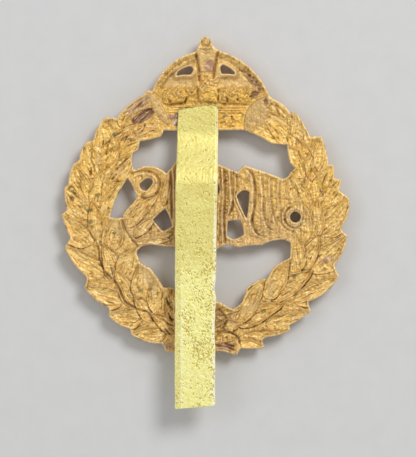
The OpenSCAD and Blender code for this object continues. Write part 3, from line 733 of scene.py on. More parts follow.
def paint_panel():
    """The pierced panel: fronds and a volute on the left, reeded folds on the right."""
    paint_base("scroll_panel", -0.26, 0.5, 0.75)
    w, inner = in_region("scroll_panel")
    drawn = 0.05 * noise(X[w] / 0.17, Y[w] / 1.5, 51) + 0.03 * noise(X[w] / 0.12, Y[w] / 0.5, 52)
    relief.back[w][inner] += drawn[inner]
    relief.line[w][inner] += (np.clip(-drawn * 9 - 0.1, 0, 0.5))[inner]
    relief.lip[w][inner] = (np.clip(drawn * 9 - 0.1, 0, 0.5))[inner]
    fronds = [
        (-5.6, 0.9, -4.9, 5.3, 0.5, 0), (-10.7, -0.9, -8.2, 2, 0.8, 0.2),
        (-6.8, -3.9, -4.3, -2.6, 0.5, 0.1), (-10.2, -2, -6.1, 2.6, 0.85, 0.2),
        (-9.4, -3.2, -6.4, -0.6, 0.75, 0.15), (-9, -4.1, -4.4, -3.6, 0.6, 0.1)]
    for k, (bx, by, tx, ty, half, bend) in enumerate(fronds):
        leaf((bx, by), (tx, ty), half, 0.16, SIDE_RELIEF, bend, 110 + k, -1, 0.8, 0, 0.6)
    stroke([(-9.9, 5), (-9, 5.35), (-7.6, 5.45), (-6.4, 4.8), (-6, 3.7), (-6.5, 2.5), (-7.7, 1.9),
            (-8.8, 2.1)], 0.12, -0.22, front=0.2)
    stroke([(-9.5, 4.5), (-8.8, 5), (-7.6, 5.1), (-6.7, 4.5), (-6.4, 3.6), (-6.9, 2.7), (-7.8, 2.3)], 0.16,
           0.1)
    stroke([(-9.7, 4.4), (-9.4, 3.4), (-8.9, 2.6)], 0.1, -0.16)
    for x in (-4.75, -4.15):
        reed([(x - 0.1, 6), (x, 3), (x + 0.05, 0.5), (x + 0.1, -1.2)], 0.17)
    for x in (-3.2, -2.3, -1.4, -0.5, 0.4):
        reed([(x, 6.2), (x + 0.1, 2), (x, -1), (x, -4.2)], 0.22)
    reed([(2.1, 6), (2.25, 2.5), (2.1, -1), (2.3, -4)], 0.2)
    reed([(3, 5.7), (3.2, 3.2), (3.3, 1), (2.7, -0.5)], 0.2)
    reed([(3.8, 5.3), (3.95, 3.4), (3.7, 1.8), (4.5, 0), (5, -1)], 0.14)
    for k in range(11):
        nodule(2.72 + 0.05 * math.sin(k), 4.9 - 0.48 * k, 0.17, 0.07, 0.5)
    reed([(5.1, 5.7), (5.9, 4.9), (6.2, 3), (6.1, 0.6), (5.8, -1.2), (6.4, -2.7), (7.7, -3.3)], 0.24, 0.18)
    reed([(7.1, 5), (7.4, 2.6), (7.4, 0), (7.9, -1.8), (8.7, -2.4)], 0.19, 0.12)
    reed([(8.4, 4.7), (8.4, 2.2), (8.7, -0.2), (9.3, -1.9)], 0.16, 0.1)
    reed([(9.6, 4.2), (9.5, 2.3), (9.6, 0.9)], 0.15, 0.08)
    stroke(arc(*EYE[:2], 1.05, 0, 360, 13), 0.2, 0.09)
    stroke(arc(*EYE[:2], 1.45, 100, 290), 0.1, -0.16)
    stroke(arc(*EYE[:2], 1.95, 130, 255), 0.1, -0.13)
    for k in range(5):
        nodule(2.9 + 0.38 * k, -0.72, 0.17, 0.08, 0.2)
        nodule(4.3 + 0.42 * k, -3.75 - 0.04 * k, 0.17, 0.08, 0.1)
    stroke([(-11, -0.8), (-10.5, -2.4), (-9.4, -4), (-8.8, -4.6)], 0.12, -0.22)
    stroke([(10.9, 4.7), (12.2, 2.4), (13, 0.4), (12.6, -2)], 0.1, -0.1)


ARCH_CENTRE = (0.35, 13.3)      # of the crown's outer arches


def paint_cap():
    """The crown's hollow cap, the raised bands of its flower row and column, and the stem of its ball."""
    paint_base("crown", -0.34, CAP_RELIEF * 0.8, 0.35)
    pool([(-6.1, 16.2, 0), (-1.2, 16.2, 0), (-1.3, 20.3, 0.9)], 0.38, 0.8, CAP_RELIEF * 0.2, pale=0.8,
         streaky=0.1)
    pool([(1.5, 16.2, 0), (7, 16.2, 0.9), (1.6, 20.5, 0)], 0.38, 0.8, CAP_RELIEF * 0.2, pale=0.7,
         streaky=0.1)
    pool([(-5.9, 14.5, 0), (6.2, 14.5, 0), (6.8, 16.5, 0), (-6.2, 16.5, 0)], -0.1, 0.3, texture=0.12,
         seed=5, pale=0, tan=0, streaky=0.1)
    pool([(-0.8, 14.5, 0), (1.1, 14.5, 0), (1, 18.4, 0), (-0.7, 18.4, 0)], -0.1, 0.2, texture=0.06, seed=6,
         pale=0, tan=0, streaky=0.1)
    pool([(-0.75, 18.4, 0), (1, 18.4, 0), (1.55, 21.3, 0), (0.7, 22, 0), (-0.6, 22, 0), (-1.25, 21.2, 0)],
         -0.14, 0.3, 0.2, pale=0.75, streaky=0.1)
    stain(relief.red, 0.5, 19.3, 0.75, 0.9, 0, 0.6)
    stroke([(-0.7, 21.6), (0, 21.35), (0.8, 21.6)], 0.1, -0.12)
    stroke([(-0.5, 21.1), (0, 20.95), (0.6, 21.1)], 0.1, -0.08)


def paint_arches():
    """The outer arches, with worn pearls, and the dirt and copper stain at the foot of the right one."""
    stroke(arc(*ARCH_CENTRE, 6.85, 154, 104), 0.12, -0.2)
    stroke(arc(*ARCH_CENTRE, 7.35, 146, 108), 0.08, -0.1, wander=0.9)
    stroke(arc(*ARCH_CENTRE, 6.75, 76, 28), 0.12, -0.06)
    for side, depth, ring in ((-1, -0.05, 0.3), (1, -0.09, 0.5)):
        for k in range(15):
            uneven = float(noise(k * 1.7 + 5 * side, 0.5, 15))
            turn = math.radians(90 - side * (11 + 3.7 * k + 1.2 * uneven))
            r = 7.5 + 0.22 * float(noise(k * 2.3, 4.5, side + 16))
            x, y = ARCH_CENTRE[0] + r * math.cos(turn), ARCH_CENTRE[1] + r * math.sin(turn)
            nodule(x, y, 0.2 + 0.08 * uneven, depth * (1 + uneven), ring * (0.5 + uneven), 0.3)
    for k in range(8):
        x, y = 4.45 + 0.19 * k, 19 - 0.11 * k + 0.08 * math.sin(k * 5)
        stroke([(x, y), (x + 0.12, y - 0.3)], 0.07, -0.2)
    stain(relief.red, 6.3, 17.3, 1.5, 0.5, -52, 0.45)
    for x, y, r in (
            (7, 16.65, 0.2), (7.25, 16.95, 0.15), (6.7, 17.2, 0.15), (6.3, 17.75, 0.13), (6.6, 16.8, 0.13),
            (7.5, 16.2, 0.16), (5.8, 18.05, 0.15), (6.1, 17.3, 0.12), (7.1, 16.2, 0.15)):
        nodule(x, y, r, -0.25, 0.7)
    stain(relief.line, 6.4, 15.5, 0.75, 0.3, 15, 0.75)
    stain(relief.line, 7.1, 16.6, 0.45, 0.3, -55, 0.6)
    strokes(0.11, -0.24, 0.9, [
        [(5.9, 15.6), (6.4, 15.85), (7, 15.75)], [(5.8, 15.2), (6.3, 15.5), (6.8, 15.45)],
        [(6, 14.9), (6.4, 15.1), (6.7, 15)]])


def paint_cap_rims():
    """Rims round the cap's openings, the grooves beside its middle arch, and the ball."""
    for line in cut_lines[:2]:
        ring = [tuple(line[k]) for k in range(0, len(line), 4)]
        stroke(ring + ring[:1], 0.28, 0.14)
    stroke([(-1.35, 21.3), (-1.1, 19.9), (-0.85, 18.7), (-0.85, 17.2)], 0.14, -0.34)
    stroke([(1.7, 21.4), (1.4, 20.1), (1.15, 18.8), (1.1, 17.6)], 0.14, -0.34)
    stroke([(-2.7, 17.8), (-1.7, 18), (-1.4, 18.8), (-1.6, 19.6)], 0.2, 0.16)
    stroke([(2.9, 18), (1.9, 17.9), (1.6, 18.6), (1.8, 19.6)], 0.2, 0.16)
    nodule(0.55, 19.6, 0.5, -0.12, 0.2)
    nodule(-0.05, 21.5, 0.16, -0.12, 0.6)
    nodule(0, 22.5, 0.5, 0.1, 0.9, 0.3)


def paint_flowers():
    """Worn foliage in the flower row, in the column above it and in the circlet, as ridges with creases
    inside them, and a few darker creases."""
    for x0, x1, y0, y1, count, seed in (
            (-5.9, -1.2, 14.8, 16.2, 26, 1), (1.6, 5.9, 14.8, 16.3, 24, 2),
            (-0.5, 0.85, 14.8, 18.2, 18, 3), (1.9, 4.6, 11.5, 12.8, 14, 4)):
        for k in range(count):
            spot = [float(noise(k * 1.37 + 11 * seed, c + 0.5, 23)) for c in range(5)]
            x, y = (x0 + x1) / 2 + (x1 - x0) * 0.75 * spot[0], (y0 + y1) / 2 + (y1 - y0) * 0.75 * spot[1]
            x, y = min(max(x, x0), x1), min(max(y, y0), y1)
            r, start = 0.42 + 0.16 * spot[2], 180 * spot[3] + 97 * k
            stroke(arc(x, y, r, start, start + 75 + 30 * spot[4], 5), 0.16, 0.17, front=0.12)
            stroke(arc(x, y, r * 0.55, start + 20, start + 65, 4), 0.09, -0.08)
    strokes(0.09, -0.24, 0.8, [
        [(-2.5, 15.2), (-2.6, 14.8), (-2.8, 14.5)], [(2.7, 15.2), (2.9, 14.9), (2.8, 14.6), (3.1, 14.6)],
        [(1.7, 16.3), (1.7, 15.4), (1.6, 14.7)], [(-1.1, 16.2), (-1, 15.4), (-1.1, 14.7)],
        [(-4.9, 15), (-4.8, 14.6), (-4.6, 14.5)], [(4.2, 15), (4.3, 14.7), (4.7, 14.6)]])
    stain(relief.green, 0.2, 16.45, 0.4, 0.12, 0, 0.8)


def paint_circlet():
    """The mouldings over the circlet, and the circlet, with painted shade and tarnish in a band round the
    slider's top end.
    """
    stroke([(-5.3, 14.15), (-4, 14.3), (-2.6, 14.45)], 0.12, -0.3)
    stroke([(1.9, 14.3), (3.6, 14.3), (5.7, 14.2)], 0.1, -0.16)
    pool([(1.6, 14.2, 0), (5.6, 14.2, 0), (5.3, 13.1, 0), (1.6, 13.1, 0)], 0, 0.2, tan=0, streaky=0)
    for y in (13.95, 13.6, 13.25):
        stroke([(-4.9, y), (-1, y + 0.04), (2, y - 0.03), (5.3, y)], 0.12, 0.15)
        stroke([(1.6, y - 0.18), (3.4, y - 0.2), (5.3, y - 0.17)], 0.05, -0.1)
    pool([(-4.5, 11.3, 0), (4.95, 11.3, 0), (5.2, 13.05, 0), (-4.9, 13.05, 0)], -0.08, 0.2, texture=0.06,
         seed=7, pale=0, tan=0, line=0, streaky=0)
    for x, y, r in ((2.5, 12.4, 0.3), (-4.1, 12.2, 0.35), (2.1, 11.7, 0.15)):
        nodule(x, y, r, -0.1, 0.4, 0.2)
    strokes(0.09, -0.2, 0.8, [
        [(3.45, 12.8), (3.5, 12.3), (3.5, 11.8)], [(2.7, 11.4), (3.2, 11.35), (3.8, 11.4)]])
    stain(relief.green, 2.5, 12.7, 0.35, 0.2, -20, 0.7)
    stain(relief.green, 4.8, 12.5, 0.25, 0.6, 0, 0.5)
    stroke([(-4.4, 11.02), (0, 11), (4.9, 11.05)], 0.17, 0.2)
    # Painted shade and tarnish: a dark olive band along the slider's top end, where it meets the crown.
    around_foot = [(-3.6, 13.55), (-2.4, 13.8), (-1, 14.1), (0.7, 14.35), (1.4, 14.15), (1.8, 13.6)]
    for x, y in path_points(around_foot, 4):
        stain(relief.green, x, y, 0.34, 0.3, 0, 0.4)


def tone_crown():
    """Stains beside the branch ends, less bare metal and painted highlight than on the branches, and clean
    gold on the flower row and the circlet, with a little more dirt on the row."""
    stain(relief.red, 6.6, 15.7, 0.9, 0.6, 40, 0.45)
    stain(relief.red, -4.5, 12.6, 0.6, 0.5, 0, 0.6)
    w, inner = in_region("crown")
    relief.lip[w][inner] *= 0.45
    flowers = smooth(11, 11.4, Y[w]) * smooth(16.6, 16.2, Y[w]) * (1 - relief.pale[w])
    relief.gilt[w][inner] = (0.65 * flowers)[inner]
    relief.line[w][inner] += (0.26 * flowers * smooth(14, 14.5, Y[w]))[inner]


def paint_skin():
    """The rough skin that striking and age left over everything but the smooth ends, a painted highlight
    along the rim, and painted brighter light on the top of the wreath, as cleaner gold and less dirt.
    """
    rough = 1 - 0.75 * relief.pale
    # Painted light: the top of the wreath is given cleaner gold and less dirt, so it reads as more strongly
    # lit.
    painted_top_light = smooth(-3, 3, Y)
    wreath = painted_top_light * smooth(12.5, 11, Y)
    relief.gilt = np.maximum(relief.gilt, 0.4 * wreath * (1 - relief.pale) * (1 - relief.red))
    relief.line *= 1 - 0.25 * painted_top_light
    relief.back += rough * (0.025 * cloudy(X, Y, 0.6, 61) + 0.045 * noise(X / 0.19, Y / 0.19, 64))
    holes = smooth(0.4, 0.65, noise(X / 0.3, Y / 0.3, 66))
    relief.back -= 0.06 * holes * rough
    relief.line = relief.line * (0.4 + 0.6 * rough) + 0.3 * holes * rough
    relief.lip *= 0.3 + 0.7 * rough
    relief.streaky *= 0.2 + 0.8 * rough
    # Painted highlight: a bright band along every edge of the metal.
    rim = bell(edge - 0.07, 0.1) * np.clip(0.7 + 0.7 * cloudy(X, Y, 1.5, 68), 0, 1)
    cut = bell(edge - 0.3, 0.07) * np.clip(0.2 + 1.6 * cloudy(X, Y, 2.2, 69), 0, 1) * smooth(9, 3, Y)
    relief.line += 0.7 * cut * rough
    relief.back -= 0.08 * cut * rough
    relief.lip = np.maximum(relief.lip, 0.8 * rim)
    relief.line *= 1 - 0.7 * rim


paint_leaves()
paint_ends()
paint_tie()
paint_panel()
paint_cap()
paint_arches()
paint_cap_rims()
paint_flowers()
paint_circlet()
tone_crown()
paint_skin()


# ---------------------------------------------------------------- meshes

def soften(field, times):
    """Spreads each point of a field into its neighbours, as many times as given."""
    for _ in range(times):
        near = np.pad(field, 1, mode="edge")
        field = (near[:-2, 1:-1] + near[2:, 1:-1] + near[1:-1, :-2] + near[1:-1, 2:]) / 4
    return field


def settle_heights():
    """Heights of the back and the front: softened edges, a thin painted highlight along the rim and enough
    metal between them.
    """
    short = np.clip(EDGE_ROUND - edge, 0, None)
    rounding = EDGE_ROUND - np.sqrt(np.clip(EDGE_ROUND**2 - short**2, 0, None))
    near_edge = 1 - smooth(0.1, 0.75, edge)
    back = relief.back * (1 - near_edge) + (-0.1 + 0.3 * relief.back) * near_edge
    back = np.minimum(back, 0) - 0.6 * rounding
    front = soften(relief.front, FRONT_BLUR) * smooth(0, 0.35, edge) - 0.7 * rounding
    back_z = BACK_Z + back
    front_z = np.clip(np.minimum(FRONT_Z - front, back_z - THINNEST), 0.01, None)
    # Painted highlight: bright colour in a thin band along the edges.
    relief.lip = np.maximum(relief.lip, 0.9 * bell(edge - 0.06, 0.14))
    return back_z, front_z


def surface_normals(faces, z):
    """Smooth normals of a height field over the whole badge, so that neighbours match at their seams."""
    p = np.stack([X.ravel(), Y.ravel(), z.ravel()], 1)
    n = np.cross(p[faces[:, 1]] - p[faces[:, 0]], p[faces[:, 2]] - p[faces[:, 0]])
    total = np.zeros_like(p)
    for k in range(3):
        np.add.at(total, faces[:, k], n)
    return total / np.maximum(np.linalg.norm(total, axis=1, keepdims=True), 1e-12)


def rim_pairs(faces):
    """The directed edges that only one face has."""
    pairs = np.concatenate([faces[:, [0, 1]], faces[:, [1, 2]], faces[:, [2, 0]]])
    size = pairs.max() + 1
    codes = pairs[:, 0] * size + pairs[:, 1]
    other = pairs[:, 1] * size + pairs[:, 0]
    return pairs[~np.isin(codes, other)]


def object_from(name, points, faces, normals=None, attributes=None):
    """A mesh object from points in millimetres in the CAD frame. normals has one row per face corner."""
    mesh = bpy.data.meshes.new(name)
    mesh.from_pydata((points * MM).tolist(), [], faces.tolist())
    mesh.update()
    for key_name, values in (attributes or {}).items():
        layer = mesh.attributes.new(key_name, "FLOAT", "POINT")
        layer.data.foreach_set("value", np.ascontiguousarray(values, np.float32))
    mesh.polygons.foreach_set("use_smooth", np.ones(len(faces), bool))
    if normals is not None:
        mesh.normals_split_custom_set(normals.reshape(-1, 3).tolist())
    obj = bpy.data.objects.new(name, mesh)
    bpy.context.scene.collection.objects.link(obj)
    return obj


def struck_piece(name, faces, rim, back_z, front_z, normals):
    """One region of the stamping as a closed mesh: back, front and the walls between them."""
    used = np.unique(faces)
    place = np.full(X.size, -1)
    place[used] = np.arange(len(used))
    count = len(used)
    x, y = X.ravel()[used], Y.ravel()[used] + WREATH_Y
    points = np.concatenate([
        np.stack([x, y, back_z.ravel()[used]], 1), np.stack([x, y, front_z.ravel()[used]], 1)])
    top = place[faces]
    under = top[:, ::-1] + count
    a, b = place[rim[:, 0]], place[rim[:, 1]]
    walls = np.concatenate([np.stack([b, a, a + count], 1), np.stack([b, a + count, b + count], 1)])
    side = points[b] - points[a]
    outward = np.stack([side[:, 1], -side[:, 0], np.zeros(len(rim))], 1)
    smooth_out = np.zeros((2 * count, 3))
    np.add.at(smooth_out, a, outward)
    np.add.at(smooth_out, b, outward)
    smooth_out[count:] = smooth_out[:count]
    smooth_out /= np.maximum(np.linalg.norm(smooth_out, axis=1, keepdims=True), 1e-12)
    back_normal, front_normal = normals[0][used], -normals[1][used]
    flat = np.concatenate([back_normal, front_normal])
    corner_normals = np.concatenate([flat[top], flat[under], smooth_out[walls]])
    attributes = {}
    for field in COLOUR_AND_SHADE_FIELDS:
        values = np.clip(getattr(relief, field).ravel()[used], 0, 1)
        attributes[field] = np.concatenate([values, values * FRONT_SHARE])
    for field in ("across", "along"):
        values = getattr(relief, field).ravel()[used]
        attributes[field] = np.concatenate([values, values])
    return object_from(name, points, np.concatenate([top, under, walls]), corner_normals, attributes)


back_height, front_height = settle_heights()
all_faces, face_region = grid_triangles()
all_normals = surface_normals(all_faces, back_height), surface_normals(all_faces, front_height)
struck = {}
for region_index, region_name in enumerate(REGIONS):
    own = all_faces[face_region == region_index]
    struck[region_name] = struck_piece(
        region_name + "_struck", own, rim_pairs(own), back_height, front_height, all_normals)


# ---------------------------------------------------------------- slider and solder

def on_slider(x, y):
    """From the slider's own axes, x across and y along, to the CAD frame."""
    c, s = math.cos(SLIDER_LEAN), math.sin(SLIDER_LEAN)
    dy = y - SLIDER_TOP
    return SLIDER_X + x * c + dy * s, WREATH_Y + SLIDER_TOP - x * s + dy * c


def loft(name, rings, attributes):
    """A closed mesh through rings of the same number of points, with a fan at each end."""
    count, size = rings.shape[:2]
    points = rings.reshape(-1, 3)
    r, k = np.meshgrid(np.arange(count - 1), np.arange(size), indexing="ij")
    a = (r * size + k).ravel()
    b = (r * size + (k + 1) % size).ravel()
    c, d = b + size, a + size
    faces = [np.stack([a, b, c], 1), np.stack([a, c, d], 1)]
    centres = np.array([rings[0].mean(0), rings[-1].mean(0)])
    points = np.concatenate([points, centres])
    k = np.arange(size)
    first, last = count * size, count * size + 1
    faces.append(np.stack([(k + 1) % size, k, np.full(size, first)], 1))
    end = (count - 1) * size
    faces.append(np.stack([end + k, end + (k + 1) % size, np.full(size, last)], 1))
    faces = np.concatenate(faces)
    p, q, r = (points[faces[:, k]] for k in range(3))
    if (p * np.cross(q, r)).sum() < 0:
        faces = faces[:, ::-1]
    full = {}
    for field, values in attributes.items():
        values = values.ravel()
        full[field] = np.concatenate([values, [values[0], values[-1]]])
    return object_from(name, points, faces, None, full)


def worn(table, place):
    """How far an edge is worn at a place, from its table."""
    return np.interp(place, [row[0] for row in table], [row[1] for row in table])


def slider_pits(x, y):
    """Small round pits, crowded towards the free end and few along its left margin."""
    rng = np.random.default_rng(11)
    pits = np.zeros(x.shape)
    step_x, step_y = x[0, 1] - x[0, 0], y[0, 0] - y[1, 0]
    across = rng.uniform(-2.6, 2.6, PIT_TRIES)
    down = rng.uniform(SLIDER_BOTTOM, SLIDER_TOP, PIT_TRIES)
    chances = rng.random(PIT_TRIES)
    radii = PIT_LEAST + PIT_SPREAD * rng.random(PIT_TRIES) ** 2
    for px, py, chance, r in zip(across, down, chances, radii):
        crowd = 0.06 + 0.42 * float(smooth(-2, -8, py)) * (0.5 + 0.5 * float(smooth(-1.6, 1.2, px)))
        crowd += 0.5 * float(smooth(0, -12, py)) * float(noise(px / 1.3, py / 1.7, 76))
        if px < -1.75 and py < -5:
            crowd *= 0.25
        if chance > crowd:
            continue
        i, j = int((y[0, 0] - py) / step_y), int((px - x[0, 0]) / step_x)
        w = slice(max(i - 4, 0), i + 5), slice(max(j - 4, 0), j + 5)
        d = np.hypot(x[w] - px, (y[w] - py) * 0.8)
        pits[w] = np.maximum(pits[w], 1 - smooth(r * 0.45, r * 1.15, d))
    return pits


SCRATCHES = [
    (0.7, 6.2, 0.5, 3.4), (1.1, 6.4, 1.0, 3.1), (1.5, 6.5, 1.4, 2.5), (2.0, 6, 1.9, 3.6),
    (0.3, 3.8, 1.2, 2.0), (1.5, 3.5, 0.7, 2.2), (1.9, 2.9, 1.2, 1.4), (-1.9, 5.2, -0.6, 3.6),
    (0.2, 2.4, 1.3, 0.5), (-0.3, -17, 0.5, -18.6), (0.3, -21.3, 0.6, -24.2), (-1.4, 10.3, 0.6, 12.4),
    (-2.2, 1, -0.8, 2.6)]


def slider_face(x, y):
    """How deep the strip's face is pitted, scratched and rounded at each place, and how much of each; also
    where its left margin is painted in shade, and where a painted highlight runs along its right edge and
    beside the margin.
    """
    pit = slider_pits(x, y)
    wander = 0.12 * cloudy(x * 0 + 1, y, 1.5, 74)
    margin = smooth(-1.75, -2.05, x + wander) * smooth(-3, -9, y)
    scratch = np.zeros(x.shape)
    for ax, ay, bx, by in SCRATCHES:
        _, _, d, t = nearest_on((ax, ay), (bx, by), x, y)
        scratch = np.maximum(scratch, bell(d, 0.06) * np.clip(4 * t * (1 - t) + 0.1, 0, 1))
    # Painted highlight: a bright band along the right edge, fainter beside the left margin.
    painted_highlight = smooth(2.2, 2.45, x + 0.08 * cloudy(x * 0, y, 1.2, 75)) * (0.35 + 0.65 * smooth(3, -6, y))
    ridge = bell(x + 1.7 + wander, 0.16) * smooth(-6, -12, y)
    painted_highlight = np.maximum(painted_highlight, 0.35 * ridge)
    depth = -0.035 * pit - 0.02 * scratch
    depth = depth - 0.09 * margin * smooth(-1.9, -2.6, x) - 0.13 * smooth(2.3, 2.65, x)
    return depth, {"pit": pit, "scratch": scratch, "margin": margin, "painted_highlight": painted_highlight}


def make_slider():
    """The strip, its face pitted by age and its edges a little uneven."""
    across_count, side_count, stations = 76, 4, 540
    t = np.linspace(0, 1, stations)
    y = SLIDER_TOP + (SLIDER_BOTTOM - SLIDER_TOP) * t
    under = FOOT_Z + (BLADE_Z - FOOT_Z) * smooth(0, 1, (FOOT_END + 0.4 - y) / (FOOT_END - JOGGLE_END + 0.8))
    half, bevel = SLIDER_WIDTH / 2, 0.12
    across = np.linspace(-1, 1, across_count)
    corner = np.linspace(0, math.pi / 2, side_count)
    left_edge = -half + worn(LEFT_WEAR, y) + 0.03 * noise(y / 0.7, y * 0 + 1.3, 5)
    right_edge = half + worn(RIGHT_WEAR, y) + 0.03 * noise(y / 0.8, y * 0 + 3.3, 7)
    flat_x, flat_y = np.meshgrid(across * (half - bevel), y)
    depth, marks = slider_face(flat_x, flat_y)
    depth = depth + 0.012 * cloudy(flat_x, flat_y, 0.8, 31) + 0.01 * noise(flat_x / 0.2, flat_y / 0.2, 32)
    rings = []
    for k in range(stations):
        left, right = left_edge[k], right_edge[k]
        xs = left + bevel + (right - left - 2 * bevel) * (across + 1) / 2
        top_z = under[k] + SLIDER_THICK - 0.03 + depth[k]
        right_x = right - bevel + bevel * np.sin(corner)[1:]
        right_z = top_z[-1] - bevel + bevel * np.cos(corner)[1:]
        left_x = (left + bevel - bevel * np.cos(corner))[:-1]
        left_z = (top_z[0] - bevel + bevel * np.sin(corner))[:-1]
        low_x = [right, right - bevel, left + bevel, left]
        low_z = [under[k] + bevel, under[k] + 0.01, under[k] + 0.01, under[k] + bevel]
        x_all = np.concatenate([xs, right_x, low_x, left_x])
        z_all = np.concatenate([top_z, right_z, low_z, left_z])
        skew = worn(TOP_END, x_all) * (1 - smooth(0, 0.06, t[k]))
        skew = skew + worn(BOTTOM_END, x_all) * smooth(0.94, 1, t[k])
        px, py = on_slider(x_all, y[k] + skew)
        rings.append(np.stack([px, py, z_all], 1))
    size = len(rings[0])
    attributes = {"low": np.repeat(smooth(-4, -10, y)[:, None], size, 1)}
    for name, face in marks.items():
        sides = np.full((stations, size - across_count), 0.4 if name == "painted_highlight" else 0.1)
        attributes[name] = np.concatenate([face, sides], axis=1)
    return loft("slider_strip", np.array(rings), attributes)


def make_solder():
    """The solder under the slider's foot, with the smear that ran out on its left and a painted highlight on
    the bead there.
    """
    turns, steps = 200, 26
    angle = np.linspace(0, 2 * math.pi, turns, endpoint=False)
    ragged = 1 + 0.05 * noise(np.cos(angle) * 3 + 9, np.sin(angle) * 3 + 9, 81)
    box = (np.abs(np.cos(angle)) ** 5 + np.abs(np.sin(angle)) ** 5) ** -0.2 * ragged
    middle_x, middle_y, half_x, half_y = -0.5, 12.2, 3.1, 1.05
    strip_edge = -2.62      # beyond it the solder stands free
    bottom = FOOT_Z - 0.22
    rings, bright = [], []
    for k in range(steps + 2):
        reach = 0.02 if k == 0 else 1.0 if k == 1 else 1 - (1 - 0.02) * ((k - 2) / (steps - 1)) ** 1.3
        x = middle_x + half_x * box * np.cos(angle) * reach
        y = middle_y + half_y * box * np.sin(angle) * reach
        z = np.full(turns, bottom)
        if k > 1:
            spill = smooth(-3.7, -2.9, x)
            lump = 0.07 * cloudy(x, y, 0.6, 83) + 0.3 * spill
            z = bottom + 0.06 + np.where(x < strip_edge, 0.1 + lump, 0.12) * smooth(1, 0.8, reach)
            z = np.where(x < strip_edge, z, np.minimum(z, FOOT_Z - 0.01))
            # The bead on the smear is raised and carries a painted highlight.
            bead = bell(np.hypot(x + 3.25, (y - 11.75) * 0.8), 0.3)
            z = z + 0.12 * bead * (x < strip_edge)
        else:
            bead = np.zeros(turns)
        px, py = on_slider(x, y)
        rings.append(np.stack([px, py, z], 1))
        bright.append(bead)
    return loft("solder_smear", np.array(rings), {"bright": np.array(bright)})


slider = make_slider()
solder = make_solder()


# ---------------------------------------------------------------- materials

class Nodes:
    """A short way to write a node material."""

    def __init__(self, name):
        self.material = bpy.data.materials.new(name)
        self.material.use_nodes = True
        self.tree = self.material.node_tree
        self.shader = self.tree.nodes["Principled BSDF"]

    def add(self, kind, settings=None, **inputs):
        node = self.tree.nodes.new(kind)
        for name, value in (settings or {}).items():
            setattr(node, name, value)
        for name, value in inputs.items():
            self.put(node.inputs[name.replace("_", " ")], value)
        return node

    def put(self, socket, value):
        if isinstance(value, bpy.types.NodeSocket):
            self.tree.links.new(value, socket)
        else:
            socket.default_value = value

    def attribute(self, name):
        return self.add("ShaderNodeAttribute", {"attribute_name": name}).outputs["Fac"]

    def math(self, operation, a, b=0.0, clamp=False):
        node = self.add("ShaderNodeMath", {"operation": operation, "use_clamp": clamp})
        self.put(node.inputs[0], a)
        self.put(node.inputs[1], b)
        return node.outputs[0]

    def noise(self, size, detail=3.0, roughness=0.6, stretch=None):
        """Noise with bumps of the size given, in millimetres."""
        place = self.add("ShaderNodeTexCoord").outputs["Object"]
        if stretch:
            mapping = self.add("ShaderNodeMapping")
            self.put(mapping.inputs["Vector"], place)
            mapping.inputs["Scale"].default_value = stretch
            place = mapping.outputs["Vector"]
        node = self.add(
            "ShaderNodeTexNoise", Vector=place, Scale=1000 / size, Detail=detail, Roughness=roughness)
        return node.outputs["Fac"]

    def grain(self, width, length):
        """Noise drawn out along the leaves, in streaks of the width and length given, in millimetres."""
        place = self.add("ShaderNodeCombineXYZ")
        self.put(place.inputs["X"], self.math("DIVIDE", self.attribute("across"), width))
        self.put(place.inputs["Y"], self.math("DIVIDE", self.attribute("along"), length))
        node = self.add("ShaderNodeTexNoise", Vector=place.outputs[0], Scale=1, Detail=3, Roughness=0.6)
        return node.outputs["Fac"]

    def ramp(self, value, low, high, out_low=0.0, out_high=1.0):
        node = self.add("ShaderNodeMapRange", {"interpolation_type": "SMOOTHSTEP"})
        names = ("Value", "From Min", "From Max", "To Min", "To Max")
        for name, v in zip(names, (value, low, high, out_low, out_high)):
            self.put(node.inputs[name], v)
        return node.outputs["Result"]

    def mix(self, share, a, b, blend="MIX"):
        node = self.add("ShaderNodeMix", {"data_type": "RGBA", "blend_type": blend})
        self.put(node.inputs["Factor"], share)
        self.put(node.inputs[6], a if isinstance(a, bpy.types.NodeSocket) else (*a, 1))
        self.put(node.inputs[7], b if isinstance(b, bpy.types.NodeSocket) else (*b, 1))
        return node.outputs[2]

    def bump(self, height, distance, strength=1.0, under=None):
        node = self.add("ShaderNodeBump", Strength=strength, Distance=distance * MM)
        self.put(node.inputs["Height"], height)
        if under is not None:
            self.put(node.inputs["Normal"], under)
        return node.outputs["Normal"]


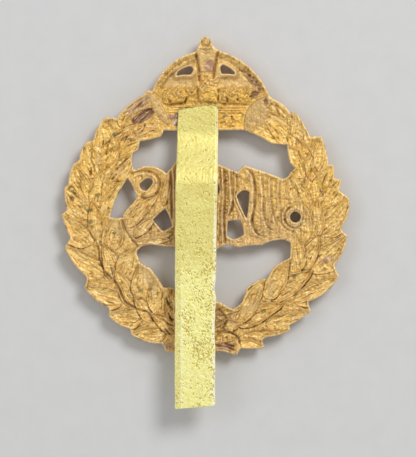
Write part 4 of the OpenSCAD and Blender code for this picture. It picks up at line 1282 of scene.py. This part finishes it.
def struck_metal():
    """Toned gilding metal: gold in the dished leaves, tan on worn metal, brown dirt and painted shade in the
    creases, painted highlights on the ridges and in pale flecks and streaks, and a fine drawn grain that
    follows the leaves."""
    n = Nodes("struck_gilding_metal")
    gold = n.mix(n.ramp(n.noise(1.4, 3), 0.35, 0.65), (0.74, 0.43, 0.095), (0.94, 0.62, 0.185))
    colour = n.mix(n.attribute("tan"), gold, (0.71, 0.45, 0.175))
    colour = n.mix(n.attribute("pale"), colour, (0.70, 0.48, 0.20))
    colour = n.mix(n.attribute("gilt"), colour, (0.95, 0.58, 0.10))
    red = n.attribute("red")
    tarnish = n.mix(n.ramp(red, 0.4, 0.95), (0.56, 0.335, 0.21), (0.25, 0.11, 0.075))
    colour = n.mix(n.math("MULTIPLY", red, 1.6, True), colour, tarnish)
    grain = n.grain(0.17, 1.6)
    streaky = n.attribute("streaky")
    drawn = n.math("MULTIPLY", n.ramp(grain, 0.53, 0.64), n.math("MULTIPLY", streaky, 0.75))
    # Pale streaks along the grain and pale flecks: grain tone and painted highlights standing in for glints.
    colour = n.mix(drawn, colour, (1.0, 0.82, 0.42))
    colour = n.mix(n.ramp(n.noise(0.26, 3, 0.7), 0.57, 0.68, 0, 0.35), colour, (1.0, 0.81, 0.42))
    # Painted highlight and bare metal: ridges and rims coloured bright.
    colour = n.mix(n.math("MULTIPLY", n.attribute("lip"), 0.7), colour, (1.0, 0.74, 0.40))
    scratches = n.math("MULTIPLY", n.ramp(grain, 0.46, 0.35), n.math("MULTIPLY", streaky, 0.8))
    pores = n.ramp(n.noise(0.27, 3, 0.7), 0.57, 0.68, 0, 0.55)
    # Painted shade and dirt: creases darkened, together with scratches and pores.
    grime_and_shade = n.math("ADD", n.attribute("line"), n.math("ADD", scratches, pores), True)
    colour = n.mix(n.math("MULTIPLY", grime_and_shade, 0.85), colour, (0.17, 0.085, 0.025))
    specks = n.math("MAXIMUM", n.attribute("green"), n.ramp(n.noise(1.1, 2), 0.70, 0.76, 0, 0.7))
    colour = n.mix(n.math("MULTIPLY", specks, 0.8), colour, (0.14, 0.15, 0.06))
    n.put(n.shader.inputs["Base Color"], colour)
    n.put(n.shader.inputs["Metallic"], 0.6)
    n.put(n.shader.inputs["Roughness"], n.ramp(n.noise(0.5, 3), 0.3, 0.7, 0.47, 0.63))
    pits = n.bump(n.noise(0.2, 3, 0.65), 0.05, 0.8)
    n.put(n.shader.inputs["Normal"], n.bump(n.math("MULTIPLY", grain, streaky), 0.08, 0.9, pits))
    return n.material


def slider_metal():
    """Pale rolled brass, matte and mottled, with brown pits, pale scratches, a left margin painted darker as
    shade, and a painted highlight along the right edge and beside the margin.
    """
    n = Nodes("slider_brass")
    colour = n.mix(n.ramp(n.noise(2.5, 3), 0.35, 0.65), (0.74, 0.63, 0.175), (0.81, 0.71, 0.225))
    low = n.attribute("low")
    colour = n.mix(n.math("MULTIPLY", low, 0.8), colour, (1.0, 0.94, 0.33))
    # Painted shade: the left margin, which slopes away, is coloured darker.
    colour = n.mix(n.math("MULTIPLY", n.attribute("margin"), 0.6), colour, (0.73, 0.62, 0.19))
    colour = n.mix(n.ramp(n.noise(0.3, 3, 0.7), 0.45, 0.34, 0, 0.5), colour, (0.58, 0.47, 0.11))
    fleck_share = n.math("ADD", n.math("MULTIPLY", low, 0.6), 0.35)
    flecks = n.math("MULTIPLY", n.ramp(n.noise(0.24, 3, 0.7), 0.51, 0.6), fleck_share)
    colour = n.mix(flecks, colour, (1.0, 1.0, 0.56))
    # Painted highlight along the right edge and beside the left margin, broken up by noise.
    broken = n.ramp(n.noise(0.9, 2, stretch=(1, 0.3, 1)), 0.35, 0.6, 0.4, 0.95)
    painted_highlight = n.math("MULTIPLY", n.attribute("painted_highlight"), broken)
    colour = n.mix(painted_highlight, colour, (1.0, 0.99, 0.78))
    colour = n.mix(n.math("MULTIPLY", n.attribute("scratch"), 0.4), colour, (0.62, 0.52, 0.17))
    colour = n.mix(n.math("MULTIPLY", n.attribute("pit"), 0.85), colour, (0.46, 0.33, 0.05))
    n.put(n.shader.inputs["Base Color"], colour)
    n.put(n.shader.inputs["Metallic"], 0.5)
    n.put(n.shader.inputs["Roughness"], n.ramp(n.noise(0.6, 3), 0.3, 0.7, 0.42, 0.56))
    fine = n.bump(n.noise(0.16, 3, 0.6), 0.03, 0.8)
    n.put(n.shader.inputs["Normal"], n.bump(n.noise(0.35, 3, 0.6), 0.03, 0.7, fine))
    return n.material


def solder_metal():
    """Grey solder with pink and brown tarnish; its brightness is a near-white painted highlight on the bead.
    """
    n = Nodes("solder")
    colour = n.mix(n.ramp(n.noise(0.7, 3), 0.4, 0.6), (0.20, 0.115, 0.07), (0.52, 0.33, 0.25))
    colour = n.mix(n.ramp(n.noise(0.3, 3, 0.7), 0.58, 0.7, 0, 0.8), colour, (0.14, 0.09, 0.06))
    # Painted highlight: near-white on the bead.
    colour = n.mix(n.attribute("bright"), colour, (1.0, 0.93, 0.86))
    n.put(n.shader.inputs["Base Color"], colour)
    n.put(n.shader.inputs["Metallic"], 0.7)
    n.put(n.shader.inputs["Roughness"], n.ramp(n.noise(0.5, 2), 0.3, 0.7, 0.28, 0.5))
    n.put(n.shader.inputs["Normal"], n.bump(n.noise(0.4, 3, 0.6), 0.05, 0.7))
    return n.material


def floor_paper():
    """Plain pale floor, a little mottled."""
    n = Nodes("pale_floor")
    n.put(n.shader.inputs["Base Color"], n.mix(n.noise(3, 4), (0.60, 0.60, 0.60), (0.66, 0.66, 0.655)))
    n.put(n.shader.inputs["Roughness"], 0.9)
    return n.material


metal = struck_metal()
for region_name, piece in struck.items():
    piece.data.materials.append(metal)
    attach(piece, "root")
    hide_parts(region_name)
slider.data.materials.append(slider_metal())
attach(slider, "root")
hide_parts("slider")
solder.data.materials.append(solder_metal())
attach(solder, "root")
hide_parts("solder_joint")


# ---------------------------------------------------------------- stage

def make_floor():
    size = 1.0      # half its side, in metres
    mesh = bpy.data.meshes.new("floor")
    corners = [(-size, -size, 0), (size, -size, 0), (size, size, 0), (-size, size, 0)]
    mesh.from_pydata(corners, [], [(0, 1, 2, 3)])
    floor = bpy.data.objects.new("floor", mesh)
    bpy.context.scene.collection.objects.link(floor)
    floor.data.materials.append(floor_paper())


def make_light(name, place, size, power):
    data = bpy.data.lights.new(name, "AREA")
    data.shape = "DISK"
    data.size = size
    data.energy = power
    light = bpy.data.objects.new(name, data)
    light.location = place
    light.rotation_euler = Vector(place).to_track_quat("Z", "Y").to_euler()
    bpy.context.scene.collection.objects.link(light)


def make_stage():
    """A soft studio: even light all round, a key from the upper right, and a camera straight above."""
    scene = bpy.context.scene
    scene.view_settings.view_transform = "Standard"
    world = bpy.data.worlds.new("studio")
    world.use_nodes = True
    world.node_tree.nodes["Background"].inputs["Color"].default_value = (1, 1, 1, 1)
    world.node_tree.nodes["Background"].inputs["Strength"].default_value = 0.5
    scene.world = world
    make_light("key", (0.25, 0.3, 0.5), 0.25, 2.1)
    make_light("fill", (-0.35, 0.1, 0.45), 0.3, 0.4)
    camera_data = bpy.data.cameras.new("camera")
    camera = bpy.data.objects.new("camera", camera_data)
    distance, view_height = 0.36, 0.0602
    camera_data.sensor_width = 36
    camera_data.lens = camera_data.sensor_width * distance / view_height
    camera.location = (0.00033, -0.0008, BACK_Z * MM + distance)
    camera_data.clip_start, camera_data.clip_end = 0.01, 10
    scene.collection.objects.link(camera)
    scene.camera = camera


make_floor()
make_stage()
